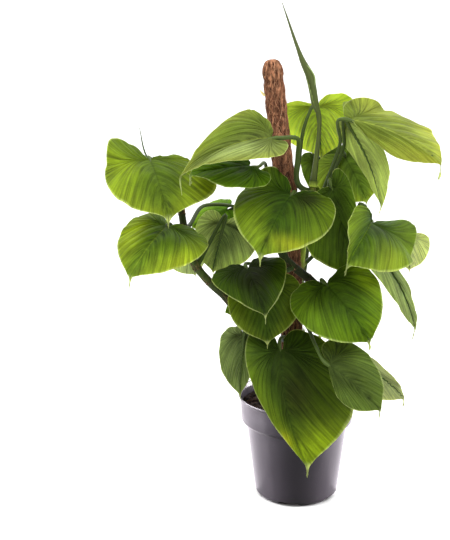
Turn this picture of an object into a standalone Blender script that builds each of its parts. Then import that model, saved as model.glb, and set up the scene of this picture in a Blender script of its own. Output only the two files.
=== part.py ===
"""A potted climbing philodendron: a nursery pot of soil, a coir pole and four stems of heart-shaped leaves.

Metres, +Z up. The origin is the centre of the pot's underside, and the plant's front faces -Y.
"""

import math

import bmesh
import bpy
import numpy as np

# Pot, a 19 cm nursery pot
POT_HEIGHT = 0.172
LIP_RADIUS = 0.095
LIP_HEIGHT = 0.006
LIP_FLARE = 0.0024
BAND_RADIUS = 0.0915
BAND_HEIGHT = 0.042
BAND_TAPER = 0.001
STEP_HEIGHT = 0.006
BODY_TOP_RADIUS = 0.0815
WALL_FOOT_RADIUS = 0.067
FOOT_RADIUS = 0.060
FOOT_HEIGHT = 0.007
POT_FLOOR = 0.002
POT_WALL = 0.0016
POT_SIDES = 48
NOTCHES = 5
NOTCH_WIDTH = 0.036
NOTCH_REACH = 0.006
FIRST_NOTCH_ANGLE = 60

# Soil, which fills the pot to a shallow mound below the lip
SOIL_EDGE = 0.154
SOIL_MIDDLE = 0.160
SOIL_SIDES = 24
GAP = 0.0003

# Pole: a wooden stake in a sleeve of bound coir
POLE_ROUTE = (
    (-0.004, 0.000, 0.030),
    (-0.006, 0.000, 0.150),
    (-0.010, 0.000, 0.280),
    (-0.013, 0.001, 0.375),
    (-0.025, 0.002, 0.534),
    (-0.033, 0.003, 0.597),
    (-0.046, 0.004, 0.714),
)
POLE_RADIUS = (0.0170, 0.0152)
POLE_WAIST = 0.0018
BINDING_PITCH = 0.026
POLE_SIDES = 10
STAKE_RADIUS = 0.005
STAKE_FOOT = 0.006
STAKE_COVER = 0.022
STAKE_SIDES = 8
STAKE_STEP = 0.05

# Tie: a flat band round the pole and the stem behind it
TIE_HEIGHT = 0.266
TIE_WIDTH = 0.005
TIE_THICKNESS = 0.0016
TIE_SIDES = 28
TIED_STEM = "stem_top"

# Stems, rooted in the soil: the middle line from foot to top, and the radius at each end. Each
# stalk meets a short knuckle of its stem, at right angles but for a little rise.
STEM_SIDES = 8
STEM_STEP = 0.026
KNUCKLE_LENGTH = 0.005
KNUCKLE_SWELL = 0.0009
RISE = 0.4
JOINT_LEAD = (-0.002, 0.004)
FIRST_STEP = 0.003
FINE_STEP = 0.002
STEMS = {
    "stem_top": {
        "route": (
            (0.002, 0.029, 0.060),
            (0.000, 0.029, 0.200),
            (-0.001, 0.028, 0.300),
            (0.004, 0.024, 0.380),
            (0.008, 0.016, 0.430),
            (0.016, 0.006, 0.480),
            (0.020, 0.002, 0.515),
        ),
        "radius": (0.0065, 0.0055),
    },
    "stem_front": {
        "route": (
            (0.034, 0.008, 0.060),
            (0.046, 0.004, 0.190),
            (0.056, -0.006, 0.270),
            (0.044, -0.022, 0.340),
            (0.019, -0.031, 0.371),
            (-0.030, -0.030, 0.417),
            (-0.036, -0.027, 0.450),
            (-0.034, -0.026, 0.478),
        ),
        "radius": (0.0075, 0.0065),
    },
    "stem_left": {
        "route": (
            (-0.035, -0.015, 0.060),
            (-0.045, -0.022, 0.190),
            (-0.070, -0.035, 0.280),
            (-0.110, -0.045, 0.343),
            (-0.150, -0.048, 0.384),
            (-0.172, -0.045, 0.418),
            (-0.180, -0.035, 0.455),
            (-0.185, -0.020, 0.485),
        ),
        "radius": (0.0075, 0.0055),
    },
    "stem_right": {
        "route": (
            (0.040, 0.040, 0.060),
            (0.056, 0.038, 0.200),
            (0.064, 0.030, 0.300),
            (0.070, 0.020, 0.380),
            (0.080, 0.010, 0.440),
            (0.099, 0.002, 0.486),
        ),
        "radius": (0.0075, 0.0080),
    },
}

# One half of a flat blade's outline, from the inner corner of its lobe round to the drip tip:
# along the midrib in blade lengths from the sinus, and across it in half widths
HALF_OUTLINE = (
    (-0.10, 0.08),
    (-0.20, 0.26),
    (-0.23, 0.52),
    (-0.17, 0.78),
    (-0.01, 0.96),
    (0.18, 1.00),
    (0.38, 0.95),
    (0.57, 0.82),
    (0.73, 0.60),
    (0.85, 0.34),
    (0.92, 0.12),
    (1.00, 0.00),
)
VEIN_SPREAD = 0.10
ROOT_CURVE = 1.3
ROW_STEPS = 2
BLADE_THICKNESS = 0.0010
STALK_SIDES = 5
STALK_STEP = 0.028
STALK_REACH = 0.014
STALK_DROP = 0.0021
NECK_BACK = 0.012
NECK_DROP = 0.006

# Leaves. sinus and tip are the ends of the midrib and face is the way the upper side looks. bend is
# the droop of the midrib from end to end. Of the left and the right half, width is the reach of the
# margin, taper narrows it towards the tip, skew slides its margin towards the tip, fold raises the
# half, cup curls its margin up, lift raises its basal lobe and lobes scales that. sway moves the
# middle of the midrib sideways and twist turns the tip. stem and node say where the stalk grows and
# stalk is its route from there. Angles are in degrees.
USUAL = {
    "width": (0.076, 0.076),
    "taper": (0.0, 0.0),
    "skew": (0.0, 0.0),
    "bend": 40,
    "fold": (8, 8),
    "cup": (-14, -14),
    "lift": (0, 0),
    "lobes": (1.0, 1.0),
    "sway": 0.0,
    "twist": 0,
    "stalk": (),
    "stalk_radius": (0.0034, 0.0024),
}
LEAVES = {
    "leaf_top_left": {
        "sinus": (-0.047, -0.07, 0.608),
        "tip": (-0.191, -0.13, 0.553),
        "face": (0.0, -0.1, 1.0),
        "width": (0.066, 0.057),
        "taper": (0.9, 0.95),
        "skew": (0.1, 0.2),
        "bend": 50,
        "fold": (45, -10),
        "lobes": (0.3, 0.9),
        "stem": "stem_top",
        "node": 0.98,
        "stalk": ((-0.0015, -0.014, 0.52), (-0.0055, -0.03, 0.575), (-0.006, -0.044, 0.6)),
        "stalk_radius": (0.0048, 0.0028),
    },
    "leaf_top_left_under": {
        "sinus": (-0.079, -0.045, 0.56),
        "tip": (-0.174, -0.1, 0.554),
        "face": (0.0, -0.5, 1.0),
        "width": (0.045, 0.05),
        "bend": 20,
        "lobes": (0.3, 0.8),
        "stem": "stem_front",
        "node": 0.99,
        "stalk": ((-0.055, 0.004, 0.552),),
    },
    "leaf_top_right": {
        "sinus": (0.074, -0.035, 0.629),
        "tip": (0.22, -0.05, 0.555),
        "face": (0.0, -0.2, 1.0),
        "width": (0.05, 0.08),
        "taper": (0.5, -1.0),
        "skew": (0.45, 0.28),
        "bend": 40,
        "fold": (-25, 5),
        "lobes": (0.2, 0.9),
        "lift": (0, 45),
        "stem": "stem_top",
        "node": 0.90,
        "stalk": ((0.039, 0.012, 0.511), (0.062, 0.015, 0.580)),
    },
    "leaf_right_hanging": {
        "sinus": (0.078, 0.035, 0.606),
        "tip": (0.125, -0.030, 0.482),
        "face": (0.75, 0.65, 0.1),
        "width": (0.045, 0.034),
        "taper": (0.0, 0.5),
        "lobes": (1.0, 0.4),
        "stem": "stem_top",
        "node": 0.80,
        "stalk": ((0.050, 0.030, 0.522), (0.070, 0.045, 0.570)),
    },
    "leaf_backlit": {
        "sinus": (0.027, 0.055, 0.631),
        "tip": (0.038, 0.075, 0.543),
        "face": (0.0, 1.0, 0.4),
        "width": (0.065, 0.065),
        "lobes": (1.25, 0.8),
        "stem": "stem_top",
        "node": 0.86,
        "stalk": ((0.000, 0.022, 0.560), (0.008, 0.028, 0.610)),
    },
    "leaf_back_right": {
        "sinus": (0.074, 0.050, 0.550),
        "tip": (0.110, 0.040, 0.479),
        "face": (0.0, -1.0, 0.4),
        "width": (0.060, 0.060),
        "stem": "stem_top",
        "node": 0.70,
        "stalk": ((0.050, 0.040, 0.500),),
    },
    "leaf_top_back": {
        "sinus": (0.033, 0.1, 0.536),
        "tip": (0.053, 0.085, 0.464),
        "face": (0.0, -1.0, 0.5),
        "width": (0.03, 0.06),
        "stem": "stem_top",
        "node": 0.60,
        "stalk": ((0.022, 0.07, 0.46),),
    },
    "leaf_far_left_high": {
        "sinus": (-0.231, -0.040, 0.567),
        "tip": (-0.199, -0.14, 0.497),
        "face": (0.0, -0.6, 1.0),
        "width": (0.07, 0.067),
        "taper": (-0.4, -1.05),
        "fold": (8, 0),
        "cup": (-4, -14),
        "lobes": (1.5, 0.5),
        "lift": (45, 0),
        "stem": "stem_left",
        "node": 0.99,
        "stalk": ((-0.205, -0.015, 0.530),),
    },
    "leaf_far_left_low": {
        "sinus": (-0.206, -0.060, 0.468),
        "tip": (-0.262, -0.165, 0.413),
        "face": (0.0, -0.8, 1.0),
        "width": (0.056, 0.074),
        "taper": (0.0, 0.0),
        "stem": "stem_left",
        "node": 0.86,
        "stalk": (),
    },
    "leaf_left_underside": {
        "sinus": (-0.119, 0.000, 0.455),
        "tip": (-0.137, -0.030, 0.384),
        "face": (0.0, 1.0, -0.2),
        "width": (0.06, 0.042),
        "stem": "stem_left",
        "node": 0.80,
        "stalk": (),
    },
    "leaf_left_back": {
        "sinus": (-0.113, 0.07, 0.462),
        "tip": (-0.173, 0.05, 0.436),
        "face": (0.0, -0.4, 1.0),
        "width": (0.044, 0.06),
        "taper": (0.2, 0.0),
        "bend": 15,
        "fold": (0, -30),
        "stem": "stem_left",
        "node": 0.93,
        "stalk": ((-0.15, 0.04, 0.475),),
    },
    "leaf_left_small": {
        "sinus": (-0.184, 0.02, 0.413),
        "tip": (-0.163, 0.01, 0.367),
        "face": (0.0, 1.0, 0.0),
        "width": (0.034, 0.034),
        "stem": "stem_left",
        "node": 0.74,
        "stalk": (),
    },
    "leaf_centre": {
        "sinus": (-0.016, -0.055, 0.516),
        "tip": (-0.068, -0.150, 0.441),
        "face": (-0.1, -0.8, 1.0),
        "taper": (0.0, -0.25),
        "lobes": (1.2, 1.0),
        "lift": (40, 0),
        "stem": "stem_front",
        "node": 0.93,
        "stalk": (),
    },
    "leaf_right_dark": {
        "sinus": (0.049, -0.018, 0.517),
        "tip": (0.091, -0.028, 0.375),
        "face": (-0.2, -1.0, 0.4),
        "width": (0.058, 0.030),
        "taper": (-0.35, 0.0),
        "skew": (0.18, 0.0),
        "lobes": (0.4, 0.8),
        "stem": "stem_right",
        "node": 0.88,
        "stalk": (),
    },
    "leaf_right_folded": {
        "sinus": (0.111, -0.010, 0.460),
        "tip": (0.062, -0.120, 0.419),
        "face": (0.4, -0.5, 0.8),
        "width": (0.07, 0.09),
        "taper": (0.4, 0.0),
        "skew": (0.45, -0.28),
        "fold": (64, 3),
        "lobes": (0.15, 1.4),
        "lift": (0, 52),
        "stem": "stem_right",
        "node": 0.85,
        "stalk": (),
    },
    "leaf_right_low": {
        "sinus": (0.127, 0.03, 0.399),
        "tip": (0.186, -0.030, 0.282),
        "face": (0.95, 0.35, 0.0),
        "width": (0.025, 0.045),
        "taper": (-0.4, 0.0),
        "stem": "stem_right",
        "node": 0.70,
        "stalk": (),
    },
    "leaf_right_back": {
        "sinus": (0.182, 0.08, 0.411),
        "tip": (0.181, 0.05, 0.363),
        "face": (0.0, 1.0, 0.2),
        "width": (0.034, 0.028),
        "lobes": (0.6, 0.6),
        "stem": "stem_right",
        "node": 0.80,
        "stalk": (),
    },
    "leaf_mid_left": {
        "sinus": (-0.083, -0.090, 0.410),
        "tip": (-0.055, -0.170, 0.355),
        "face": (0.0, -0.8, 0.8),
        "width": (0.060, 0.060),
        "taper": (0.5, 0.35),
        "stem": "stem_front",
        "node": 0.80,
        "stalk": (),
    },
    "leaf_mid_left_low": {
        "sinus": (-0.059, -0.050, 0.371),
        "tip": (-0.051, -0.100, 0.289),
        "face": (0.0, -0.9, 0.5),
        "width": (0.052, 0.06),
        "taper": (-0.3, 0.0),
        "stem": "stem_left",
        "node": 0.45,
        "stalk": (),
    },
    "leaf_mid_right": {
        "sinus": (0.039, -0.070, 0.378),
        "tip": (0.108, -0.130, 0.300),
        "face": (0.0, -0.9, 0.7),
        "width": (0.070, 0.070),
        "lobes": (1.0, 0.3),
        "stem": "stem_front",
        "node": 0.64,
        "stalk": (),
    },
    "leaf_front_low": {
        "sinus": (-0.030, -0.090, 0.278),
        "tip": (0.013, -0.150, 0.100),
        "face": (0.0, -1.0, 0.2),
        "width": (0.058, 0.09),
        "taper": (0.8, -0.6),
        "skew": (0.0, 0.15),
        "fold": (8, -6),
        "sway": -0.06,
        "stem": "stem_front",
        "node": 0.36,
        "stalk": (),
    },
    "leaf_low_right": {
        "sinus": (0.043, -0.13, 0.268),
        "tip": (0.122, -0.165, 0.203),
        "face": (0.0, -0.8, 0.8),
        "width": (0.034, 0.055),
        "skew": (0.4, 0.0),
        "lobes": (0.3, 1.3),
        "stem": "stem_front",
        "node": 0.6,
        "stalk": ((0.005, -0.045, 0.317), (0.014, -0.07, 0.303), (0.024, -0.105, 0.286)),
    },
    "leaf_low_right_back": {
        "sinus": (0.08, -0.055, 0.254),
        "tip": (0.168, -0.09, 0.193),
        "face": (0.3, 0.9, 0.0),
        "width": (0.019, 0.045),
        "lobes": (1.3, 1.0),
        "stem": "stem_right",
        "node": 0.40,
        "stalk": ((0.08, 0.01, 0.262),),
    },
    "leaf_low_left": {
        "sinus": (-0.088, -0.06, 0.29),
        "tip": (-0.093, -0.075, 0.193),
        "face": (-0.3, 1.0, 0.0),
        "width": (0.028, 0.04),
        "taper": (0.2, 0.15),
        "lobes": (0.8, 0.8),
        "stem": "stem_left",
        "node": 0.36,
        "stalk": (),
    },
    "leaf_low_left_back": {
        "sinus": (-0.068, -0.003, 0.325),
        "tip": (-0.119, -0.010, 0.311),
        "face": (0.0, -0.5, 1.0),
        "width": (0.03, 0.03),
        "stem": "stem_left",
        "node": 0.55,
        "stalk": (),
    },
}

# Shoots without an open blade: the route from the stem and the radius at even steps along it
SHOOTS = {
    "leaf_spear": {
        "stem": "stem_top",
        "node": 1.0,
        "stalk": (
            (0.026, 0.012, 0.566),
            (0.029, 0.012, 0.603),
            (0.028, 0.012, 0.628),
            (0.023, 0.010, 0.641),
            (0.018, 0.008, 0.666),
            (0.013, 0.006, 0.688),
            (0.001, 0.003, 0.713),
            (-0.011, 0.001, 0.744),
            (-0.019, 0.000, 0.767),
            (-0.031, 0.000, 0.801),
        ),
        "radii": (
            0.0054, 0.0046, 0.0038, 0.0034, 0.0033, 0.0034, 0.0060, 0.0062,
            0.0068, 0.0052, 0.0034, 0.0026, 0.0019, 0.0013, 0.0005,
        ),
    },
    "leaf_needle": {
        "stem": "stem_left",
        "node": 1.0,
        "stalk": ((-0.200, 0.010, 0.520), (-0.240, 0.022, 0.560), (-0.250, 0.020, 0.605)),
        "radii": (0.0020, 0.0018, 0.0018, 0.0014, 0.0005),
    },
    "bud": {
        "stem": "stem_front",
        "node": 0.48,
        "stalk": ((0.030, -0.020, 0.272), (0.012, -0.022, 0.268), (0.008, -0.021, 0.290)),
        "radii": (0.0020, 0.0026, 0.0040, 0.0034, 0.0008),
    },
}
SHOOT_SIDES = 8
PALE_SHOOT = ((-0.0558, 0.000, 0.659), (-0.0590, 0.000, 0.662), (-0.0640, 0.000, 0.668))
PALE_SHOOT_RADII = (0.0022, 0.0018, 0.0006)

# Colours, roughness and metallic value of each material
MATERIALS = {
    "pot_plastic": ((0.045, 0.040, 0.045, 1.0), 0.35, 0.0),
    "soil": ((0.025, 0.014, 0.010, 1.0), 0.95, 0.0),
    "stake_wood": ((0.45, 0.30, 0.16, 1.0), 0.7, 0.0),
    "coir": ((0.30, 0.12, 0.06, 1.0), 0.95, 0.0),
    "tie_cord": ((0.02, 0.03, 0.02, 1.0), 0.8, 0.0),
    "stem_green": ((0.06, 0.10, 0.03, 1.0), 0.5, 0.0),
    "pale_shoot": ((0.70, 0.60, 0.30, 1.0), 0.6, 0.0),
    "leaf_green": ((0.13, 0.24, 0.03, 1.0), 0.5, 0.0),
}


def unit(vector):
    return vector / np.linalg.norm(vector)


def smooth_route(points, step):
    """A cubic curve through the points, sampled about every step along it."""
    points = np.array(points, float)
    steps = np.diff(points, axis=0)
    chords = np.linalg.norm(steps, axis=1)
    slopes = steps / chords[:, None]
    before = chords[:-1, None]
    after = chords[1:, None]
    turns = (slopes[:-1] * after + slopes[1:] * before) / (before + after)
    turns = np.vstack([slopes[0], turns, slopes[-1]])
    samples = []
    for i, chord in enumerate(chords):
        for t in np.linspace(0, 1, 24, endpoint=False):
            ease = t * t * (3 - 2 * t)
            leave = t * (1 - t) ** 2 * chord * turns[i]
            arrive = t * t * (1 - t) * chord * turns[i + 1]
            samples.append(points[i] + ease * steps[i] + leave - arrive)
    samples.append(points[-1])
    return resample(np.array(samples), step)


def lengths_along(points):
    return np.concatenate([[0], np.cumsum(np.linalg.norm(np.diff(points, axis=0), axis=1))])


def stretch_of(points, start, end, step):
    """The part of a route between two distances along it, with even points."""
    along = lengths_along(points)
    count = max(2, round((end - start) / step) + 1)
    wanted = np.linspace(start, end, count)
    return np.stack([np.interp(wanted, along, points[:, axis]) for axis in range(3)], 1)


def resample(points, step):
    return stretch_of(points, 0, lengths_along(points)[-1], step)


def new_object(name, vertices, faces, material):
    mesh = bpy.data.meshes.new(name)
    mesh.from_pydata([tuple(v) for v in vertices], [], faces)
    made = bmesh.new()
    made.from_mesh(mesh)
    bmesh.ops.recalc_face_normals(made, faces=made.faces)
    made.to_mesh(mesh)
    made.free()
    thing = bpy.data.objects.new(name, mesh)
    bpy.context.scene.collection.objects.link(thing)
    thing.data.materials.append(materials[material])
    return thing


def smooth(thing, angle=40):
    thing.data.shade_smooth()
    thing.data.set_sharp_from_angle(angle=math.radians(angle))


def tube(name, points, radii, sides, material, extend=0):
    """A closed tube along the points, with flat caps, that runs past both ends by extend."""
    points = np.array(points, float)
    points[0] += extend * unit(points[0] - points[1])
    points[-1] += extend * unit(points[-1] - points[-2])
    radii = np.broadcast_to(radii, len(points))
    tangents = np.gradient(points, axis=0)
    across = unit(np.cross(tangents[0], (0.31, 0.95, 0.11)))
    vertices = []
    for point, tangent, radius in zip(points, tangents, radii):
        across = unit(across - across.dot(tangent) * tangent / tangent.dot(tangent))
        other = np.cross(unit(tangent), across)
        for turn in np.linspace(0, 2 * math.pi, sides, endpoint=False):
            vertices.append(point + radius * (math.cos(turn) * across + math.sin(turn) * other))
    faces = [tuple(range(sides)), tuple(range(len(vertices) - sides, len(vertices)))]
    for ring in range(len(points) - 1):
        for side in range(sides):
            a = ring * sides + side
            b = ring * sides + (side + 1) % sides
            faces.append((a, b, b + sides, a + sides))
    return new_object(name, vertices, faces, material)


def turned(name, profile, sides, material):
    """A solid of revolution about Z: profile holds (radius, height) and starts and ends on the axis."""
    vertices = []
    rings = []
    for radius, height in profile:
        start = len(vertices)
        if radius == 0:
            vertices.append((0, 0, height))
            rings.append([start] * sides)
            continue
        for turn in np.linspace(0, 2 * math.pi, sides, endpoint=False):
            vertices.append((radius * math.sin(turn), -radius * math.cos(turn), height))
        rings.append(list(range(start, start + sides)))
    faces = []
    for lower, upper in zip(rings, rings[1:]):
        for side in range(sides):
            after = (side + 1) % sides
            corners = [lower[side], lower[after], upper[after], upper[side]]
            faces.append(tuple(dict.fromkeys(corners)))
    return new_object(name, vertices, faces, material)


def combine(thing, others, operation):
    """Joins the others to the thing, or cuts them from it, with one Boolean, and removes them.

    The exact solver loses a thin blade now and then, so a result with fewer faces is made again.
    """
    group = bpy.data.collections.new("operands")
    for other in others:
        group.objects.link(other)
    modifier = thing.modifiers.new("Combine", "BOOLEAN")
    modifier.operation = operation
    modifier.operand_type = "COLLECTION"
    modifier.collection = group
    for solver in ("EXACT", "MANIFOLD"):
        modifier.solver = solver
        graph = bpy.context.evaluated_depsgraph_get()
        mesh = bpy.data.meshes.new_from_object(thing.evaluated_get(graph))
        if len(mesh.polygons) > len(thing.data.polygons):
            break
    thing.modifiers.clear()
    thing.data = mesh
    mesh.name = thing.name
    for other in others:
        bpy.data.objects.remove(other)
    bpy.data.collections.remove(group)
    return thing


def pot_wall_profile(inset, foot_height):
    """(radius, height) up the pot's outer wall from the foot to below the lip, moved inwards by inset."""
    band_foot = POT_HEIGHT - BAND_HEIGHT
    return [
        (FOOT_RADIUS - inset, foot_height),
        (WALL_FOOT_RADIUS - inset, FOOT_HEIGHT),
        (BODY_TOP_RADIUS - inset, band_foot - STEP_HEIGHT),
        (BAND_RADIUS - BAND_TAPER - inset, band_foot),
        (BAND_RADIUS - inset, POT_HEIGHT - LIP_HEIGHT),
    ]


def make_pot():
    outside = pot_wall_profile(0, 0)
    inside = pot_wall_profile(POT_WALL, POT_FLOOR)
    lip = [
        (LIP_RADIUS, POT_HEIGHT - LIP_HEIGHT + LIP_FLARE),
        (LIP_RADIUS, POT_HEIGHT),
        (LIP_RADIUS - POT_WALL, POT_HEIGHT),
    ]
    profile = [(0, 0)] + outside + lip + inside[::-1] + [(0, POT_FLOOR)]
    pot = turned("pot", profile, POT_SIDES, "pot_plastic")
    cutters = []
    for number in range(NOTCHES):
        angle = math.radians(FIRST_NOTCH_ANGLE + number * 360 / NOTCHES)
        outwards = np.array((math.sin(angle), -math.cos(angle), 0))
        sideways = np.array((math.cos(angle), math.sin(angle), 0))
        corners = []
        for height in (-POT_FLOOR, FOOT_HEIGHT):
            for reach in (FOOT_RADIUS - NOTCH_REACH, LIP_RADIUS):
                for side in (-0.5, 0.5):
                    corner = outwards * reach + sideways * side * NOTCH_WIDTH
                    corners.append(corner + np.array((0, 0, height)))
        faces = [(0, 1, 3, 2), (4, 6, 7, 5), (0, 4, 5, 1), (2, 3, 7, 6), (0, 2, 6, 4), (1, 5, 7, 3)]
        cutters.append(new_object("notch", corners, faces, "pot_plastic"))
    combine(pot, cutters, "DIFFERENCE")
    smooth(pot, 35)


def make_soil():
    inside = pot_wall_profile(POT_WALL + GAP, POT_FLOOR + GAP)
    profile = [(0, inside[0][1])] + inside[:4]
    edge_radius = inside[3][0]
    shoulder_height = (SOIL_EDGE + 2 * SOIL_MIDDLE) / 3
    profile += [(edge_radius, SOIL_EDGE), (edge_radius / 2, shoulder_height), (0, SOIL_MIDDLE)]
    soil = turned("soil", profile, SOIL_SIDES, "soil")
    cutters = [pole_solid("pole_hole", GAP, 0), stake_solid("stake_hole", GAP)]
    for name in STEMS:
        route, radii = stem_line(name)
        hole = route[route[:, 2] < SOIL_MIDDLE + STEM_STEP]
        cutters.append(tube("hole", hole, radii[: len(hole)] + GAP, STEM_SIDES, "soil", GAP))
    combine(soil, cutters, "DIFFERENCE")
    smooth(soil)


def pole_line(step):
    return smooth_route(POLE_ROUTE, step)


def pole_solid(name, grow, waist):
    """The outside of the coir sleeve: bulges between its bindings and a rounded top."""
    route = pole_line(BINDING_PITCH / 2)
    along = lengths_along(route)
    from_top = along[-1] - along
    radii = np.interp(along / along[-1], (0, 1), POLE_RADIUS)
    phase = 2 * math.pi * (from_top / BINDING_PITCH + 0.25)
    radii = radii - waist * (0.5 - 0.5 * np.cos(phase))
    return tube(name, route, radii + grow, POLE_SIDES, "coir", grow)


def stake_solid(name, grow):
    route = pole_line(STAKE_STEP)
    foot = np.array((POLE_ROUTE[0][0], POLE_ROUTE[0][1], STAKE_FOOT))
    route = np.vstack([foot, route[route[:, 2] < POLE_ROUTE[-1][2] - STAKE_COVER]])
    return tube(name, route, STAKE_RADIUS + grow, STAKE_SIDES, "stake_wood", grow)


def make_pole():
    sleeve = pole_solid("pole_coir", 0, POLE_WAIST)
    combine(sleeve, [stake_solid("bore", GAP)], "DIFFERENCE")
    smooth(sleeve, 60)
    smooth(stake_solid("pole_stake", 0))


def stem_line(name):
    route = smooth_route(STEMS[name]["route"], STEM_STEP)
    foot_radius, top_radius = STEMS[name]["radius"]
    share = np.linspace(0, 1, len(route)) ** 1.5
    return route, foot_radius + (top_radius - foot_radius) * share


def stalk_line(grown):
    """The middle line of a stalk or shoot, from the stem's own middle line to its end or its blade."""
    route, radii = stem_line(grown["stem"])
    fine = resample(route, FINE_STEP)
    at = round(grown["node"] * (len(fine) - 1))
    points = [fine[at], *np.array(grown["stalk"], float)]
    stem_radius = float(np.interp(grown["node"], np.linspace(0, 1, len(radii)), radii))
    if "sinus" in grown:
        along, face, _ = blade_axes(grown)
        points.append(np.array(grown["sinus"]) - NECK_BACK * along - NECK_DROP * face)
        points.append(blade_point(grown, STALK_REACH / blade_length(grown), 0) - STALK_DROP * face)
    if grown["node"] < 1:
        upwards = unit(fine[min(at + 1, len(fine) - 1)] - fine[at - 1])
        outwards = points[1] - points[0]
        outwards = unit(outwards - outwards.dot(upwards) * upwards)
        outwards = unit(outwards + RISE * upwards)
        joint = stem_radius + KNUCKLE_LENGTH
        points[1:1] = [points[0] + (joint + lead) * outwards for lead in JOINT_LEAD]
    return smooth_route(points, FINE_STEP), stem_radius


def beyond_knuckle(line, stem_radius, step):
    """The part of a stalk's line past its knuckle, with a short first step that keeps its end square."""
    start = stem_radius + KNUCKLE_LENGTH + GAP
    rest = stretch_of(line, start + FIRST_STEP, lengths_along(line)[-1], step)
    return np.vstack([stretch_of(line, start, start, step)[:1], rest])


def make_stem(name):
    route, radii = stem_line(name)
    stem = tube(name, route, radii, STEM_SIDES, "stem_green")
    knuckles = []
    for grown in [*leaves.values(), *SHOOTS.values()]:
        if grown["stem"] != name:
            continue
        line, stem_radius = stalk_line(grown)
        stub = stretch_of(line, 0, stem_radius + KNUCKLE_LENGTH, KNUCKLE_LENGTH)
        stub_radius = grown["radii" if "radii" in grown else "stalk_radius"][0] + KNUCKLE_SWELL
        knuckles.append(tube("knuckle", stub, stub_radius, STALK_SIDES, "stem_green"))
    if knuckles:
        combine(stem, knuckles, "UNION")
    smooth(stem, 50)


def blade_length(leaf):
    return float(np.linalg.norm(np.array(leaf["tip"]) - np.array(leaf["sinus"])))


def blade_axes(leaf):
    along = unit(np.array(leaf["tip"]) - np.array(leaf["sinus"]))
    face = np.array(leaf["face"], float)
    face = unit(face - face.dot(along) * along)
    return along, face, np.cross(face, along)


def blade_point(leaf, u, v):
    """A point of the blade: u runs down the midrib from sinus to tip, v across from -1 to 1."""
    along, face, side = blade_axes(leaf)
    length = blade_length(leaf)
    half = int(v > 0)
    behind = max(-u, 0)
    u = u + leaf["skew"][half] * abs(v) * (1 - u)
    turn = math.radians(max(leaf["bend"], 1))
    radius = length / (2 * math.sin(turn / 2))
    angle = (u - 0.5) * turn
    middle = length / 2 + radius * math.sin(angle)
    height = radius * (math.cos(angle) - math.cos(turn / 2))
    normal = along * math.sin(angle) + face * math.cos(angle)
    point = np.array(leaf["sinus"]) + along * middle + face * height
    point = point + side * leaf["sway"] * length * 4 * max(u, 0) * (1 - u)
    point = point + normal * behind * length * abs(v) * math.tan(math.radians(leaf["lift"][half]))
    out = abs(v) * leaf["width"][half] * (1 - leaf["taper"][half] * max(u, 0))
    raised = math.radians(leaf["fold"][half] + leaf["cup"][half] * abs(v))
    rolled = math.radians(leaf["twist"]) * u
    outwards = (side * math.cos(rolled) + normal * math.sin(rolled)) * math.copysign(1, v)
    upwards = normal * math.cos(rolled) - side * math.sin(rolled)
    return point + out * (outwards * math.cos(raised) + upwards * math.sin(raised))


def blade_sheet(leaf):
    """Points and triangles of the blade's middle sheet, in rows that run from the midrib to the margin."""
    points = {}
    faces = []

    def corner(u, v):
        key = (round(u, 6), round(v, 6))
        if key not in points:
            points[key] = (len(points), blade_point(leaf, u, v))
        return points[key][0]

    for half in (-1, 1):
        rows = []
        for u, v in HALF_OUTLINE[:-1]:
            u = u * leaf["lobes"][int(half > 0)] if u < 0 else u
            root = max(0, (u - VEIN_SPREAD) / (1 - VEIN_SPREAD)) ** ROOT_CURVE
            shares = np.linspace(0, 1, ROW_STEPS + 1)
            rows.append([corner(root + (u - root) * t, half * v * t) for t in shares])
        for row, after in zip(rows, rows[1:]):
            for a, b, c, d in zip(row, row[1:], after[1:], after):
                faces += [(a, b, c), (a, c, d)]
        tip = corner(1, 0)
        faces += [(a, b, tip) for a, b in zip(rows[-1], rows[-1][1:])]
        if half == 1:
            faces = [f for f in faces if len(set(f)) == 3]
        else:
            faces = [f[::-1] for f in faces if len(set(f)) == 3]
    return np.array([p for _, p in points.values()]), faces


def thickened(points, faces, thickness):
    """A closed shell round a sheet, split into triangles alike on both faces."""
    normals = np.zeros_like(points)
    for a, b, c in faces:
        normal = np.cross(points[b] - points[a], points[c] - points[a])
        for corner in (a, b, c):
            normals[corner] += normal
    normals /= np.linalg.norm(normals, axis=1)[:, None]
    count = len(points)
    shell = np.vstack([points + normals * thickness / 2, points - normals * thickness / 2])
    closed = list(faces) + [(c + count, b + count, a + count) for a, b, c in faces]
    edges = {(a, b) for f in faces for a, b in zip(f, f[1:] + f[:1])}
    for a, b in sorted(edges):
        if (b, a) not in edges:
            closed += [(b, a, a + count), (b, a + count, b + count)]
    return shell, closed


def make_leaf(name):
    leaf = leaves[name]
    points, faces = blade_sheet(leaf)
    blade = new_object(name, *thickened(points, faces, BLADE_THICKNESS), "leaf_green")
    line, stem_radius = stalk_line(leaf)
    route = beyond_knuckle(line, stem_radius, STALK_STEP)
    radii = np.linspace(*leaf["stalk_radius"], len(route))
    stalk = tube("stalk", route, radii, STALK_SIDES, "leaf_green")
    combine(blade, [stalk], "UNION")
    smooth(blade, 60)


def make_shoot(name):
    shoot = SHOOTS[name]
    line, stem_radius = stalk_line(shoot)
    route = beyond_knuckle(line, stem_radius, lengths_along(line)[-1] / (2 * len(shoot["radii"])))
    share = np.linspace(0, 1, len(route))
    radii = np.interp(share, np.linspace(0, 1, len(shoot["radii"])), shoot["radii"])
    smooth(tube(name, route, radii, SHOOT_SIDES, "leaf_green"))


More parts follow.
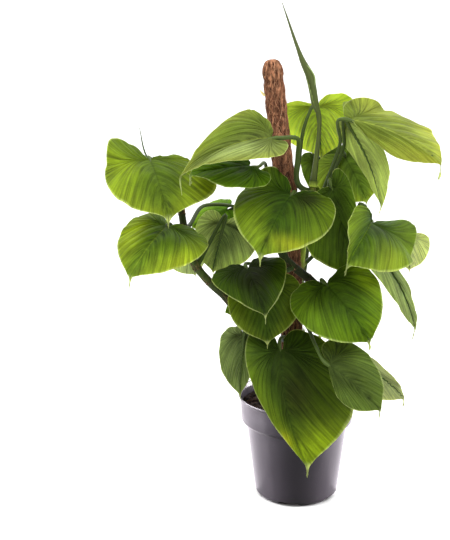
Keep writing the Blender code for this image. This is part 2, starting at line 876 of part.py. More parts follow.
def make_tie():
    """A closed band along the convex outline of the pole and the tied stem."""
    outline = []
    pole = pole_line(FINE_STEP)
    stem, stem_radii = stem_line(TIED_STEM)
    for line, radius in ((pole, POLE_RADIUS[0]), (resample(stem, FINE_STEP), stem_radii[0])):
        centre = line[np.argmin(abs(line[:, 2] - TIE_HEIGHT))]
        reach = radius + GAP + TIE_THICKNESS / 2
        outline.append((centre[:2], reach))
    ring = []
    for turn in np.linspace(0, 2 * math.pi, TIE_SIDES, endpoint=False):
        outwards = np.array((math.cos(turn), math.sin(turn)))
        centre, reach = max(outline, key=lambda circle: circle[0].dot(outwards) + circle[1])
        ring.append((centre + reach * outwards, outwards))
    vertices = []
    for point, outwards in ring:
        for out, up in ((-1, 0), (0, -1), (1, 0), (0, 1)):
            spot = point + outwards * out * TIE_THICKNESS / 2
            vertices.append((*spot, TIE_HEIGHT + up * TIE_WIDTH / 2))
    faces = []
    for step in range(TIE_SIDES):
        after = (step + 1) % TIE_SIDES
        for side in range(4):
            other = (side + 1) % 4
            faces.append((4 * step + side, 4 * step + other, 4 * after + other, 4 * after + side))
    smooth(new_object("pole_tie", vertices, faces, "tie_cord"))


for old in list(bpy.data.objects):
    bpy.data.objects.remove(old)

materials = {}
for label, (colour, roughness, metallic) in MATERIALS.items():
    material = bpy.data.materials.new(label)
    material.use_nodes = True
    shader = material.node_tree.nodes["Principled BSDF"]
    shader.inputs["Base Color"].default_value = colour
    shader.inputs["Roughness"].default_value = roughness
    shader.inputs["Metallic"].default_value = metallic
    materials[label] = material

leaves = {name: {**USUAL, **given} for name, given in LEAVES.items()}

make_pot()
make_soil()
make_pole()
for stem_name in STEMS:
    make_stem(stem_name)
for leaf_name in leaves:
    make_leaf(leaf_name)
for shoot_name in SHOOTS:
    make_shoot(shoot_name)
make_tie()
smooth(tube("pale_shoot", PALE_SHOOT, PALE_SHOOT_RADII, 6, "pale_shoot"))
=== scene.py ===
"""The looks of the potted philodendron: fine leaves, stems, pole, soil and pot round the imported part."""

import itertools
import math

import bpy
import numpy as np
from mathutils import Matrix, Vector


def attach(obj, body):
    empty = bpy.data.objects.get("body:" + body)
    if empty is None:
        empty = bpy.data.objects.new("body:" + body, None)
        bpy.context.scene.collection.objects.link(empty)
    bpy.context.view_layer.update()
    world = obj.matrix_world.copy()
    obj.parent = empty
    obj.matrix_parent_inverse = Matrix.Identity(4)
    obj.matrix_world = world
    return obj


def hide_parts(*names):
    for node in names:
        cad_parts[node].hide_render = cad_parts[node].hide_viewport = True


# The part's own sizes, repeated from its source
POT_HEIGHT = 0.172
LIP_RADIUS = 0.095
LIP_HEIGHT = 0.006
LIP_FLARE = 0.0024
BAND_RADIUS = 0.0915
BAND_HEIGHT = 0.042
BAND_TAPER = 0.001
STEP_HEIGHT = 0.006
BODY_TOP_RADIUS = 0.0815
WALL_FOOT_RADIUS = 0.067
FOOT_RADIUS = 0.060
FOOT_HEIGHT = 0.007
POT_FLOOR = 0.002
POT_WALL = 0.0016
NOTCHES = 5
NOTCH_WIDTH = 0.036
NOTCH_REACH = 0.006
FIRST_NOTCH_ANGLE = 60
SOIL_EDGE = 0.154
SOIL_MIDDLE = 0.160
GAP = 0.0003
POLE_ROUTE = (
    (-0.004, 0.000, 0.030), (-0.006, 0.000, 0.150), (-0.010, 0.000, 0.280), (-0.013, 0.001, 0.375),
    (-0.025, 0.002, 0.534), (-0.033, 0.003, 0.597), (-0.046, 0.004, 0.714),
)
POLE_RADIUS = (0.0170, 0.0152)
POLE_WAIST = 0.0018
BINDING_PITCH = 0.026
TIE_HEIGHT = 0.266
TIE_WIDTH = 0.005
TIE_THICKNESS = 0.0016
TIED_STEM = "stem_top"
STEM_STEP = 0.026
KNUCKLE_LENGTH = 0.005
KNUCKLE_SWELL = 0.0009
RISE = 0.4
JOINT_LEAD = (-0.002, 0.004)
FINE_STEP = 0.002
STEMS = {
    "stem_top": {
        "route": (
            (0.002, 0.029, 0.060), (0.000, 0.029, 0.200), (-0.001, 0.028, 0.300), (0.004, 0.024, 0.380),
            (0.008, 0.016, 0.430), (0.016, 0.006, 0.480), (0.020, 0.002, 0.515),
        ),
        "radius": (0.0065, 0.0055),
    },
    "stem_front": {
        "route": (
            (0.034, 0.008, 0.060), (0.046, 0.004, 0.190), (0.056, -0.006, 0.270), (0.044, -0.022, 0.340),
            (0.019, -0.031, 0.371), (-0.030, -0.030, 0.417), (-0.036, -0.027, 0.450),
            (-0.034, -0.026, 0.478),
        ),
        "radius": (0.0075, 0.0065),
    },
    "stem_left": {
        "route": (
            (-0.035, -0.015, 0.060), (-0.045, -0.022, 0.190), (-0.070, -0.035, 0.280),
            (-0.110, -0.045, 0.343), (-0.150, -0.048, 0.384), (-0.172, -0.045, 0.418),
            (-0.180, -0.035, 0.455), (-0.185, -0.020, 0.485),
        ),
        "radius": (0.0075, 0.0055),
    },
    "stem_right": {
        "route": (
            (0.040, 0.040, 0.060), (0.056, 0.038, 0.200), (0.064, 0.030, 0.300), (0.070, 0.020, 0.380),
            (0.080, 0.010, 0.440), (0.099, 0.002, 0.486),
        ),
        "radius": (0.0075, 0.0080),
    },
}
STALK_REACH = 0.014
STALK_DROP = 0.0021
NECK_BACK = 0.012
NECK_DROP = 0.006
USUAL = {
    "width": (0.076, 0.076),
    "taper": (0.0, 0.0),
    "skew": (0.0, 0.0),
    "bend": 40,
    "fold": (8, 8),
    "cup": (-14, -14),
    "lift": (0, 0),
    "lobes": (1.0, 1.0),
    "sway": 0.0,
    "stalk": (),
    "stalk_radius": (0.0034, 0.0024),
}
LEAVES = {
    "leaf_top_left": dict(
        sinus=(-0.047, -0.07, 0.608), tip=(-0.191, -0.13, 0.553), face=(0.0, -0.1, 1.0),
        width=(0.066, 0.057), taper=(0.9, 0.95), skew=(0.1, 0.2), bend=50, fold=(45, -10),
        lobes=(0.3, 0.9), stem="stem_top", node=0.98,
        stalk=((-0.0015, -0.014, 0.52), (-0.0055, -0.03, 0.575), (-0.006, -0.044, 0.6)),
        stalk_radius=(0.0048, 0.0028),
    ),
    "leaf_top_left_under": dict(
        sinus=(-0.079, -0.045, 0.56), tip=(-0.174, -0.1, 0.554), face=(0.0, -0.5, 1.0),
        width=(0.045, 0.05), bend=20, lobes=(0.3, 0.8), stem="stem_front", node=0.99,
        stalk=((-0.055, 0.004, 0.552),),
    ),
    "leaf_top_right": dict(
        sinus=(0.074, -0.035, 0.629), tip=(0.22, -0.05, 0.555), face=(0.0, -0.2, 1.0), width=(0.05, 0.08),
        taper=(0.5, -1.0), skew=(0.45, 0.28), fold=(-25, 5), lobes=(0.2, 0.9), lift=(0, 45),
        stem="stem_top", node=0.90, stalk=((0.039, 0.012, 0.511), (0.062, 0.015, 0.580)),
    ),
    "leaf_right_hanging": dict(
        sinus=(0.078, 0.035, 0.606), tip=(0.125, -0.030, 0.482), face=(0.75, 0.65, 0.1),
        width=(0.045, 0.034), taper=(0.0, 0.5), lobes=(1.0, 0.4), stem="stem_top", node=0.80,
        stalk=((0.050, 0.030, 0.522), (0.070, 0.045, 0.570)),
    ),
    "leaf_backlit": dict(
        sinus=(0.027, 0.055, 0.631), tip=(0.038, 0.075, 0.543), face=(0.0, 1.0, 0.4),
        width=(0.065, 0.065), lobes=(1.25, 0.8), stem="stem_top", node=0.86,
        stalk=((0.000, 0.022, 0.560), (0.008, 0.028, 0.610)),
    ),
    "leaf_back_right": dict(
        sinus=(0.074, 0.050, 0.550), tip=(0.110, 0.040, 0.479), face=(0.0, -1.0, 0.4),
        width=(0.060, 0.060), stem="stem_top", node=0.70, stalk=((0.050, 0.040, 0.500),),
    ),
    "leaf_top_back": dict(
        sinus=(0.033, 0.1, 0.536), tip=(0.053, 0.085, 0.464), face=(0.0, -1.0, 0.5), width=(0.03, 0.06),
        stem="stem_top", node=0.60, stalk=((0.022, 0.07, 0.46),),
    ),
    "leaf_far_left_high": dict(
        sinus=(-0.231, -0.040, 0.567), tip=(-0.199, -0.14, 0.497), face=(0.0, -0.6, 1.0),
        width=(0.07, 0.067), taper=(-0.4, -1.05), fold=(8, 0), cup=(-4, -14), lobes=(1.5, 0.5),
        lift=(45, 0), stem="stem_left", node=0.99, stalk=((-0.205, -0.015, 0.530),),
    ),
    "leaf_far_left_low": dict(
        sinus=(-0.206, -0.060, 0.468), tip=(-0.262, -0.165, 0.413), face=(0.0, -0.8, 1.0),
        width=(0.056, 0.074), stem="stem_left", node=0.86,
    ),
    "leaf_left_underside": dict(
        sinus=(-0.119, 0.000, 0.455), tip=(-0.137, -0.030, 0.384), face=(0.0, 1.0, -0.2),
        width=(0.06, 0.042), stem="stem_left", node=0.80,
    ),
    "leaf_left_back": dict(
        sinus=(-0.113, 0.07, 0.462), tip=(-0.173, 0.05, 0.436), face=(0.0, -0.4, 1.0),
        width=(0.044, 0.06), taper=(0.2, 0.0), bend=15, fold=(0, -30), stem="stem_left", node=0.93,
        stalk=((-0.15, 0.04, 0.475),),
    ),
    "leaf_left_small": dict(
        sinus=(-0.184, 0.02, 0.413), tip=(-0.163, 0.01, 0.367), face=(0.0, 1.0, 0.0),
        width=(0.034, 0.034), stem="stem_left", node=0.74,
    ),
    "leaf_centre": dict(
        sinus=(-0.016, -0.055, 0.516), tip=(-0.068, -0.150, 0.441), face=(-0.1, -0.8, 1.0),
        taper=(0.0, -0.25), lobes=(1.2, 1.0), lift=(40, 0), stem="stem_front", node=0.93,
    ),
    "leaf_right_dark": dict(
        sinus=(0.049, -0.018, 0.517), tip=(0.091, -0.028, 0.375), face=(-0.2, -1.0, 0.4),
        width=(0.058, 0.030), taper=(-0.35, 0.0), skew=(0.18, 0.0), lobes=(0.4, 0.8), stem="stem_right",
        node=0.88,
    ),
    "leaf_right_folded": dict(
        sinus=(0.111, -0.010, 0.460), tip=(0.062, -0.120, 0.419), face=(0.4, -0.5, 0.8),
        width=(0.07, 0.09), taper=(0.4, 0.0), skew=(0.45, -0.28), fold=(64, 3), lobes=(0.15, 1.4),
        lift=(0, 52), stem="stem_right", node=0.85,
    ),
    "leaf_right_low": dict(
        sinus=(0.127, 0.03, 0.399), tip=(0.186, -0.030, 0.282), face=(0.95, 0.35, 0.0),
        width=(0.025, 0.045), taper=(-0.4, 0.0), stem="stem_right", node=0.70,
    ),
    "leaf_right_back": dict(
        sinus=(0.182, 0.08, 0.411), tip=(0.181, 0.05, 0.363), face=(0.0, 1.0, 0.2), width=(0.034, 0.028),
        lobes=(0.6, 0.6), stem="stem_right", node=0.80,
    ),
    "leaf_mid_left": dict(
        sinus=(-0.083, -0.090, 0.410), tip=(-0.055, -0.170, 0.355), face=(0.0, -0.8, 0.8),
        width=(0.060, 0.060), taper=(0.5, 0.35), stem="stem_front", node=0.80,
    ),
    "leaf_mid_left_low": dict(
        sinus=(-0.059, -0.050, 0.371), tip=(-0.051, -0.100, 0.289), face=(0.0, -0.9, 0.5),
        width=(0.052, 0.06), taper=(-0.3, 0.0), stem="stem_left", node=0.45,
    ),
    "leaf_mid_right": dict(
        sinus=(0.039, -0.070, 0.378), tip=(0.108, -0.130, 0.300), face=(0.0, -0.9, 0.7),
        width=(0.070, 0.070), lobes=(1.0, 0.3), stem="stem_front", node=0.64,
    ),
    "leaf_front_low": dict(
        sinus=(-0.030, -0.090, 0.278), tip=(0.013, -0.150, 0.100), face=(0.0, -1.0, 0.2),
        width=(0.058, 0.09), taper=(0.8, -0.6), skew=(0.0, 0.15), fold=(8, -6), sway=-0.06,
        stem="stem_front", node=0.36,
    ),
    "leaf_low_right": dict(
        sinus=(0.043, -0.13, 0.268), tip=(0.122, -0.165, 0.203), face=(0.0, -0.8, 0.8),
        width=(0.034, 0.055), skew=(0.4, 0.0), lobes=(0.3, 1.3), stem="stem_front", node=0.6,
        stalk=((0.005, -0.045, 0.317), (0.014, -0.07, 0.303), (0.024, -0.105, 0.286)),
    ),
    "leaf_low_right_back": dict(
        sinus=(0.08, -0.055, 0.254), tip=(0.168, -0.09, 0.193), face=(0.3, 0.9, 0.0),
        width=(0.019, 0.045), lobes=(1.3, 1.0), stem="stem_right", node=0.40,
        stalk=((0.08, 0.01, 0.262),),
    ),
    "leaf_low_left": dict(
        sinus=(-0.088, -0.06, 0.29), tip=(-0.093, -0.075, 0.193), face=(-0.3, 1.0, 0.0),
        width=(0.028, 0.04), taper=(0.2, 0.15), lobes=(0.8, 0.8), stem="stem_left", node=0.36,
    ),
    "leaf_low_left_back": dict(
        sinus=(-0.068, -0.003, 0.325), tip=(-0.119, -0.010, 0.311), face=(0.0, -0.5, 1.0),
        width=(0.03, 0.03), stem="stem_left", node=0.55,
    ),
}
SHOOTS = {
    "leaf_spear": {
        "stem": "stem_top",
        "node": 1.0,
        "stalk": (
            (0.026, 0.012, 0.566), (0.029, 0.012, 0.603), (0.028, 0.012, 0.628), (0.023, 0.010, 0.641),
            (0.018, 0.008, 0.666), (0.013, 0.006, 0.688), (0.001, 0.003, 0.713), (-0.011, 0.001, 0.744),
            (-0.019, 0.000, 0.767), (-0.031, 0.000, 0.801),
        ),
        "radii": (
            0.0054, 0.0046, 0.0038, 0.0034, 0.0033, 0.0034, 0.0060, 0.0062,
            0.0068, 0.0052, 0.0034, 0.0026, 0.0019, 0.0013, 0.0005,
        ),
        "rolled_from": 0.40,
        "greens": ("#465024", "#4a5230"),
    },
    "leaf_needle": {
        "stem": "stem_left",
        "node": 1.0,
        "stalk": ((-0.200, 0.010, 0.520), (-0.240, 0.022, 0.560), (-0.250, 0.020, 0.605)),
        "radii": (0.0020, 0.0018, 0.0018, 0.0014, 0.0005),
        "rolled_from": 0.3,
        "greens": ("#4a5a34", "#3c4a2c"),
    },
    "bud": {
        "stem": "stem_front",
        "node": 0.48,
        "stalk": ((0.030, -0.020, 0.272), (0.012, -0.022, 0.268), (0.008, -0.021, 0.290)),
        "radii": (0.0020, 0.0026, 0.0040, 0.0034, 0.0008),
        "rolled_from": 0.2,
        "greens": ("#8fae4a", "#a8c25e"),
    },
}
# The rolled leaf's curled free margin
CURL_TOP = 0.706
CURL_LENGTH = 0.034
PALE_SHOOT = ((-0.0558, 0.000, 0.659), (-0.0590, 0.000, 0.662), (-0.0640, 0.000, 0.668))
PALE_SHOOT_RADII = (0.0022, 0.0018, 0.0006)

# One half of a blade's outline, as in the part but with the narrow drip tip drawn out
HALF_OUTLINE = (
    (-0.10, 0.08), (-0.20, 0.26), (-0.23, 0.52), (-0.17, 0.78), (-0.01, 0.96), (0.18, 1.00), (0.38, 0.95),
    (0.57, 0.82), (0.73, 0.60), (0.84, 0.34), (0.895, 0.17), (0.93, 0.085), (0.96, 0.040), (0.99, 0.018),
    (1.015, 0.004),
)
VEINS = 17
ROWS_PER_VEIN = 6
FIRST_STEPS = (0, 0.012, 0.03, 0.06, 0.11)
LAST_STEPS = (0.93, 0.975, 1)
VEIN_ROOT = 0.70
VEIN_CROWDING = 1.2
VEIN_CURVE = (2.2, 1.5)
VEIN_CURVE_FADE = 0.15
VEIN_RELIEF = 0.0018
MIDRIB_GROOVE = 0.0007
GROOVE_WIDTH = 0.0018
HALF_THICKNESS = 0.00036
EDGE_THICKNESS = 0.00020
WAVE = 0.0018
UNDULATION = 0.0016
WAVES = 3.3
TIP_START = 0.93
TIP_DROOP = 0.9

# Each leaf's upper colours at its middle and margin; how far painted shade darkens its middle, where the
# leaves above shadow it; and how yellow its margin is, partly its own yellowing and partly painted glow of
# light through the thin edge. Leaves that aren't listed take the first line.
SHADES = {
    "usual": ("#3a540e", "#587414", 0.2, 0.3),
    "leaf_top_left": ("#535f26", "#747d33", 0.1, 0.2),
    "leaf_top_left_under": ("#304a06", "#4a6808", 0.2, 0.2),
    "leaf_top_right": ("#5e6c26", "#818a36", 0.1, 0.35),
    "leaf_back_right": ("#536a26", "#7d9236", 0.3, 0.2),
    "leaf_left_back": ("#40600e", "#608018", 0.2, 0.3),
    "leaf_top_back": ("#2c3c0e", "#3e5216", 0.3, 0.0),
    "leaf_far_left_high": ("#465912", "#62731c", 0.2, 0.25),
    "leaf_far_left_low": ("#475e16", "#667820", 0.2, 0.3),
    "leaf_centre": ("#2c440a", "#506414", 0.3, 0.4),
    "leaf_right_dark": ("#2e400e", "#465e14", 0.4, 0.1),
    "leaf_right_folded": ("#3c5612", "#627820", 0.2, 0.25),
    "leaf_mid_left": ("#1e2c06", "#304408", 0.4, 0.2),
    "leaf_mid_left_low": ("#304210", "#506218", 0.4, 0.3),
    "leaf_mid_right": ("#364c0c", "#506a14", 0.3, 0.2),
    "leaf_front_low": ("#304412", "#4e6216", 0.2, 0.4),
    "leaf_low_right": ("#3c4a1e", "#4e6028", 0.3, 0.0),
}
# Patches on the upper side: the dark ones are painted shade where leaves above shadow the blade, the pale
# grey-green one on leaf_top_left a painted sheen, and the bright yellow-green ones partly the blade's own
# yellowing and partly painted light. Their place along and across the blade, how far they reach each way,
# the tone and its strength
TONE_AND_PAINTED_LIGHT_PATCHES = {
    "leaf_centre": (
        (0.72, 0.42, 0.10, 0.35, "#969a22", 0.5),
        (0.78, -0.30, 0.18, 0.35, "#6c8220", 0.45),
        (0.00, 0.35, 0.22, 0.30, "#2a3410", 0.7),
    ),
    "leaf_front_low": (
        (0.25, 0.12, 0.36, 0.45, "#1e2008", 0.70),
        (0.35, 0.60, 0.30, 0.35, "#26340c", 0.50),
        (0.86, 0.10, 0.16, 0.90, "#728614", 0.8),
        (0.72, -0.60, 0.06, 0.30, "#96981e", 0.7),
    ),
    "leaf_mid_left": ((0.22, 0.10, 0.34, 0.50, "#14100a", 0.85),),
    "leaf_far_left_low": (
        (0.30, -0.65, 0.35, 0.30, "#8c9c20", 0.35),
        (0.55, 0.80, 0.30, 0.22, "#98a424", 0.35),
    ),
    "leaf_far_left_high": (
        (0.15, -0.60, 0.28, 0.28, "#869a1c", 0.4),
        (0.30, 0.10, 0.30, 0.22, "#42580e", 0.5),
    ),
    "leaf_right_folded": (
        (0.12, 0.20, 0.20, 0.28, "#2a3a10", 0.7),
        (0.60, 0.55, 0.28, 0.30, "#868f26", 0.4),
    ),
    "leaf_top_right": ((0.70, 0.40, 0.28, 0.40, "#98a040", 0.5),),
    "leaf_top_left": (
        (0.40, 0.50, 0.45, 0.35, "#8c9a62", 0.7),
        (0.30, -0.60, 0.50, 0.35, "#5c7620", 0.5),
    ),
    "leaf_mid_right": (
        (0.30, 0.80, 0.30, 0.25, "#74861a", 0.35),
        (0.05, 0.05, 0.25, 0.35, "#2c3e10", 0.6),
    ),
}
# How far painted shade darkens the creases along the sunk veins on a blade's two halves
PAINTED_CREASE_SHADE = {
    "usual": (0.06, 0.06),
    "leaf_centre": (0.10, 0.55),
    "leaf_low_right": (0.35, 0.45),
    "leaf_right_folded": (0.25, 0.40),
    "leaf_left_underside": (0.45, 0.45),
    "leaf_low_left": (0.35, 0.35),
    "leaf_front_low": (0.15, 0.25),
    "leaf_mid_left_low": (0.20, 0.20),
    "leaf_right_dark": (0.20, 0.20),
}
PALE_MIDRIBS = ("leaf_far_left_low", "leaf_top_right", "leaf_top_left", "leaf_right_folded")
# The colours of the undersides that show, at their middle and margin
UNDERSIDES = {
    "usual": ("#6a7c44", "#80904e"),
    # leaf_backlit's underside is paler and brighter than its own colour: painted light that shines through
    # it from behind
    "leaf_backlit": ("#a2b63e", "#c2d24c"),
    "leaf_left_small": ("#9aa476", "#aab482"),
    "leaf_left_underside": ("#5c6a3c", "#98a464"),
    "leaf_low_left": ("#546138", "#6e7b4b"),
    "leaf_low_right_back": ("#949c70", "#a4a87a"),
    "leaf_right_back": ("#acb47c", "#c4c88a"),
    "leaf_right_hanging": ("#88964e", "#9eac5a"),
    "leaf_right_low": ("#8a986a", "#a4b07a"),
}
MARGIN = "#b4be84"
TIP = "#a6b076"

STALK_GREEN = ("#2c3a14", "#445420")
STEM_YOUNG = {
    "stem_top": ("#98ac3e", "#6e8a2c"),
    "stem_front": ("#24300c", "#1a200a"),
    "stem_left": ("#37451a", "#262f0f"),
    "stem_right": ("#42541e", "#2e3c14"),
}
STEM_OLD = ("#2c2418", "#19150f")
FIBRE_BROWNS = ("#8c5c42", "#a47252", "#6a4432", "#bc8e6c", "#3c2014")
SOIL_BROWNS = ("#2d1b13", "#1e120c", "#3b2519", "#140d0a", "#54392a")
POT_BLACKS = ((0.0028, 0.0025, 0.0030), (0.0038, 0.0034, 0.0040))
POT_DUST = (0.040, 0.037, 0.038)
POT_TONE = (0.02, 0.02, 0.02)

# The scene's own pieces: the steps along their lines, their sides and strands, and their small sizes
OUTLINE_STEP = 0.002
GRAIN_STEP = 3.7
FULL_RELIEF_LENGTH = 0.14
FULL_RELIEF_WIDTH = 0.06
STALK_STEP = 0.003
STALK_SIDES = 12
NECK_LENGTH = 0.022
NECK_SINK = 0.0013
NECK_SWELL = 0.0007
FOOT_SWELL = 0.0008
MIDRIB_POINTS = 40
MIDRIB_END = 0.9
MIDRIB_END_RADIUS = 0.00045
MIDRIB_LINE = 0.0009
STEM_FINE_STEP = 0.0015
STEM_SIDES = 20
STEM_YOUNG_HEIGHTS = (0.20, 0.42)
FIRST_SCAR = 0.10
SCAR_SPACING = 0.034
SCAR_CLEARANCE = 0.018
SCAR_LEAD = 0.004
SCAR_RIDGE = 0.0006
SCAR_WIDTH = 0.0016
KNUCKLE_STEP = 0.001
KNUCKLE_FLARE = 0.0016
KNUCKLE_SIDES = 14
FIRST_SHEATH = 0.105
SHEATH_FIBRES = 26
SHEATH_FIBRE_WIDTH = 0.00022
SHOOT_STEP = 0.0015
SHOOT_SIDES = 36
SHOOT_SMOOTHINGS = 12
SHOOT_RIBS = 11
CURL_POINTS = 24
CURL_SIDES = 10
PALE_SHOOT_STEP = 0.0008
POLE_STEP = 0.0018
POLE_SIDES = 120
POLE_RELIEF = 0.0009
POLE_FIBRES = 4200
FIBRE_WIDTHS = (0.00014, 0.00040)
FIBRE_LENGTHS = (0.012, 0.045)
STRAND_SIDES = 3
CORD_TURNS = 2
CORD_POINTS = 72
CORD_SIDES = 6
CORD_RADIUS = 0.00035
CORD_SPREAD = 0.0009
LOWEST_CORD = 0.12
TIE_SIDES = 120
TIE_SECTION_SIDES = 12
SOIL_SIDES = 150
SOIL_RINGS = 60
CRUMBS = 1500
CRUMB_SIZES = (0.0011, 0.0016, 0.0024, 0.0034)
CRUMB_SINK = 0.0006
POT_SIDES = 160
POT_SPACING = 0.012
POT_ROUNDING = 0.0022
POT_CREASE = 40

# Light powers in watts, and the camera
KEY_POWER = 44
FILL_POWER = 26
LOW_PANEL_POWER = 2.2
SIDE_PANEL_POWER = 640
FLOOR_REACH = 30
LENS = 105.5
SENSOR_WIDTH = 36.0
CAMERA_PLACE = (-0.117, -2.4, 1.10)
CAMERA_TILT = 16.7


def unit(vector):
    return vector / np.linalg.norm(vector)


def smooth_route(points, step):
    """A cubic curve through the points, sampled about every step along it."""
    points = np.array(points, float)
    steps = np.diff(points, axis=0)
    chords = np.linalg.norm(steps, axis=1)
    slopes = steps / chords[:, None]
    before = chords[:-1, None]
    after = chords[1:, None]
    turns = (slopes[:-1] * after + slopes[1:] * before) / (before + after)
    turns = np.vstack([slopes[0], turns, slopes[-1]])
    samples = []
    for i, chord in enumerate(chords):
        for t in np.linspace(0, 1, 24, endpoint=False):
            eased = t * t * (3 - 2 * t)
            leave = t * (1 - t) ** 2 * chord * turns[i]
            arrive = t * t * (1 - t) * chord * turns[i + 1]
            samples.append(points[i] + eased * steps[i] + leave - arrive)
    samples.append(points[-1])
    return resample(np.array(samples), step)


def lengths_along(points):
    return np.concatenate([[0], np.cumsum(np.linalg.norm(np.diff(points, axis=0), axis=1))])


def place_at(wanted, along, values):
    """A line's points, or directions across it, at the wanted distances along it."""
    return np.stack([np.interp(wanted, along, values[:, axis]) for axis in range(3)], -1)


def stretch_of(points, start, end, step):
    """The part of a route between two distances along it, with even points."""
    count = max(2, round((end - start) / step) + 1)
    return place_at(np.linspace(start, end, count), lengths_along(points), points)


def resample(points, step):
    return stretch_of(points, 0, lengths_along(points)[-1], step)


def pot_wall_profile(inset, foot_height):
    """(radius, height) up the pot's outer wall from the foot to below the lip, moved inwards by inset."""
    band_foot = POT_HEIGHT - BAND_HEIGHT
    return [
        (FOOT_RADIUS - inset, foot_height),
        (WALL_FOOT_RADIUS - inset, FOOT_HEIGHT),
        (BODY_TOP_RADIUS - inset, band_foot - STEP_HEIGHT),
        (BAND_RADIUS - BAND_TAPER - inset, band_foot),
        (BAND_RADIUS - inset, POT_HEIGHT - LIP_HEIGHT),
    ]


def pole_line(step):
    return smooth_route(POLE_ROUTE, step)


def stem_line(name):
    route = smooth_route(STEMS[name]["route"], STEM_STEP)
    foot_radius, top_radius = STEMS[name]["radius"]
    share = np.linspace(0, 1, len(route)) ** 1.5
    return route, foot_radius + (top_radius - foot_radius) * share


def stalk_line(grown):
    """The middle line of a stalk or shoot, from the stem's own middle line to its end or its blade."""
    route, radii = stem_line(grown["stem"])
    fine = resample(route, FINE_STEP)
    at = round(grown["node"] * (len(fine) - 1))
    points = [fine[at], *np.array(grown["stalk"], float)]
    stem_radius = float(np.interp(grown["node"], np.linspace(0, 1, len(radii)), radii))
    if "sinus" in grown:
        along, face, _ = blade_axes(grown)
        points.append(np.array(grown["sinus"]) - NECK_BACK * along - NECK_DROP * face)
        reach = np.array([STALK_REACH / blade_length(grown)])
        points.append(blade_points(grown, reach, np.zeros(1))[0] - STALK_DROP * face)
    if grown["node"] < 1:
        upwards = unit(fine[min(at + 1, len(fine) - 1)] - fine[at - 1])
        outwards = points[1] - points[0]
        outwards = unit(outwards - outwards.dot(upwards) * upwards)
        outwards = unit(outwards + RISE * upwards)
        joint = stem_radius + KNUCKLE_LENGTH
        points[1:1] = [points[0] + (joint + lead) * outwards for lead in JOINT_LEAD]
    return smooth_route(points, FINE_STEP), stem_radius


def free_stalk(grown, step):
    """A stalk's or shoot's line beyond the knuckle that it grows from."""
    line, stem_radius = stalk_line(grown)
    return stretch_of(line, stem_radius + KNUCKLE_LENGTH, lengths_along(line)[-1], step)


def blade_length(leaf):
    return float(np.linalg.norm(np.array(leaf["tip"]) - np.array(leaf["sinus"])))


def blade_axes(leaf):
    along = unit(np.array(leaf["tip"]) - np.array(leaf["sinus"]))
    face = np.array(leaf["face"], float)
    face = unit(face - face.dot(along) * along)
    return along, face, np.cross(face, along)


def by_half(v, pair):
    """The value for each point's half of the blade."""
    return np.where(v > 0, pair[1], pair[0])


def blade_points(leaf, u, v):
    """Points of the blade: u runs down the midrib from sinus to tip, v across from -1 to 1."""
    along, face, side = blade_axes(leaf)
    length = blade_length(leaf)
    behind = np.maximum(-u, 0)
    u = u + by_half(v, leaf["skew"]) * abs(v) * (1 - u)
    turn = math.radians(leaf["bend"])
    radius = length / (2 * math.sin(turn / 2))
    angle = (u - 0.5) * turn
    middle = length / 2 + radius * np.sin(angle)
    height = radius * (np.cos(angle) - math.cos(turn / 2))
    normal = along * np.sin(angle)[..., None] + face * np.cos(angle)[..., None]
    point = np.array(leaf["sinus"]) + along * middle[..., None] + face * height[..., None]
    sway = leaf["sway"] * length * 4 * np.maximum(u, 0) * np.maximum(1 - u, 0)
    point = point + side * sway[..., None]
    lift = behind * length * abs(v) * np.tan(np.radians(by_half(v, leaf["lift"])))
    point = point + normal * lift[..., None]
    beyond = np.maximum(u - TIP_START, 0)[..., None] * length * TIP_DROOP
    point = point + beyond * (np.array((0, 0, -1)) - along)
    out = abs(v) * by_half(v, leaf["width"]) * (1 - by_half(v, leaf["taper"]) * np.maximum(u, 0))
    raised = np.radians(by_half(v, leaf["fold"]) + by_half(v, leaf["cup"]) * abs(v))[..., None]
    outwards = side * np.where(v < 0, -1.0, 1.0)[..., None]
    return point + out[..., None] * (outwards * np.cos(raised) + normal * np.sin(raised))


def colour(text):
    """A linear colour from a hex one."""
    parts = np.array([int(text[i : i + 2], 16) / 255 for i in (1, 3, 5)])
    return np.where(parts <= 0.04045, parts / 12.92, ((parts + 0.055) / 1.055) ** 2.4)


def blend(a, b, share):
    """Colours a to b, for an array of shares."""
    share = np.clip(np.asarray(share, float), 0, 1)[..., None]
    return np.asarray(a) * (1 - share) + np.asarray(b) * share


def ease(value, low, high):
    """A smooth step from 0 at low to 1 at high."""
    t = np.clip((np.asarray(value, float) - low) / (high - low), 0, 1)
    return t * t * (3 - 2 * t)


def bell(value, width):
    """A hump of height 1 round 0."""
    return np.exp(-((value / width) ** 2))


def ripple(points, scale, seed, octaves=3):
    """Smooth noise of about -1 to 1 at points of space, from a few seeded waves for each octave."""
    rng = np.random.default_rng(seed)
    total = np.zeros(np.shape(points)[:-1])
    for octave in range(octaves):
        for _ in range(6):
            direction = rng.normal(size=3)
            wave = direction / np.linalg.norm(direction) * scale * 2**octave * rng.uniform(0.6, 1.4)
            total += np.sin(points @ wave + rng.uniform(0, 2 * math.pi)) / (6**0.5 * 1.6**octave)
    return total


def new_object(name, data):
    made = bpy.data.objects.new(name, data)
    bpy.context.scene.collection.objects.link(made)
    return made


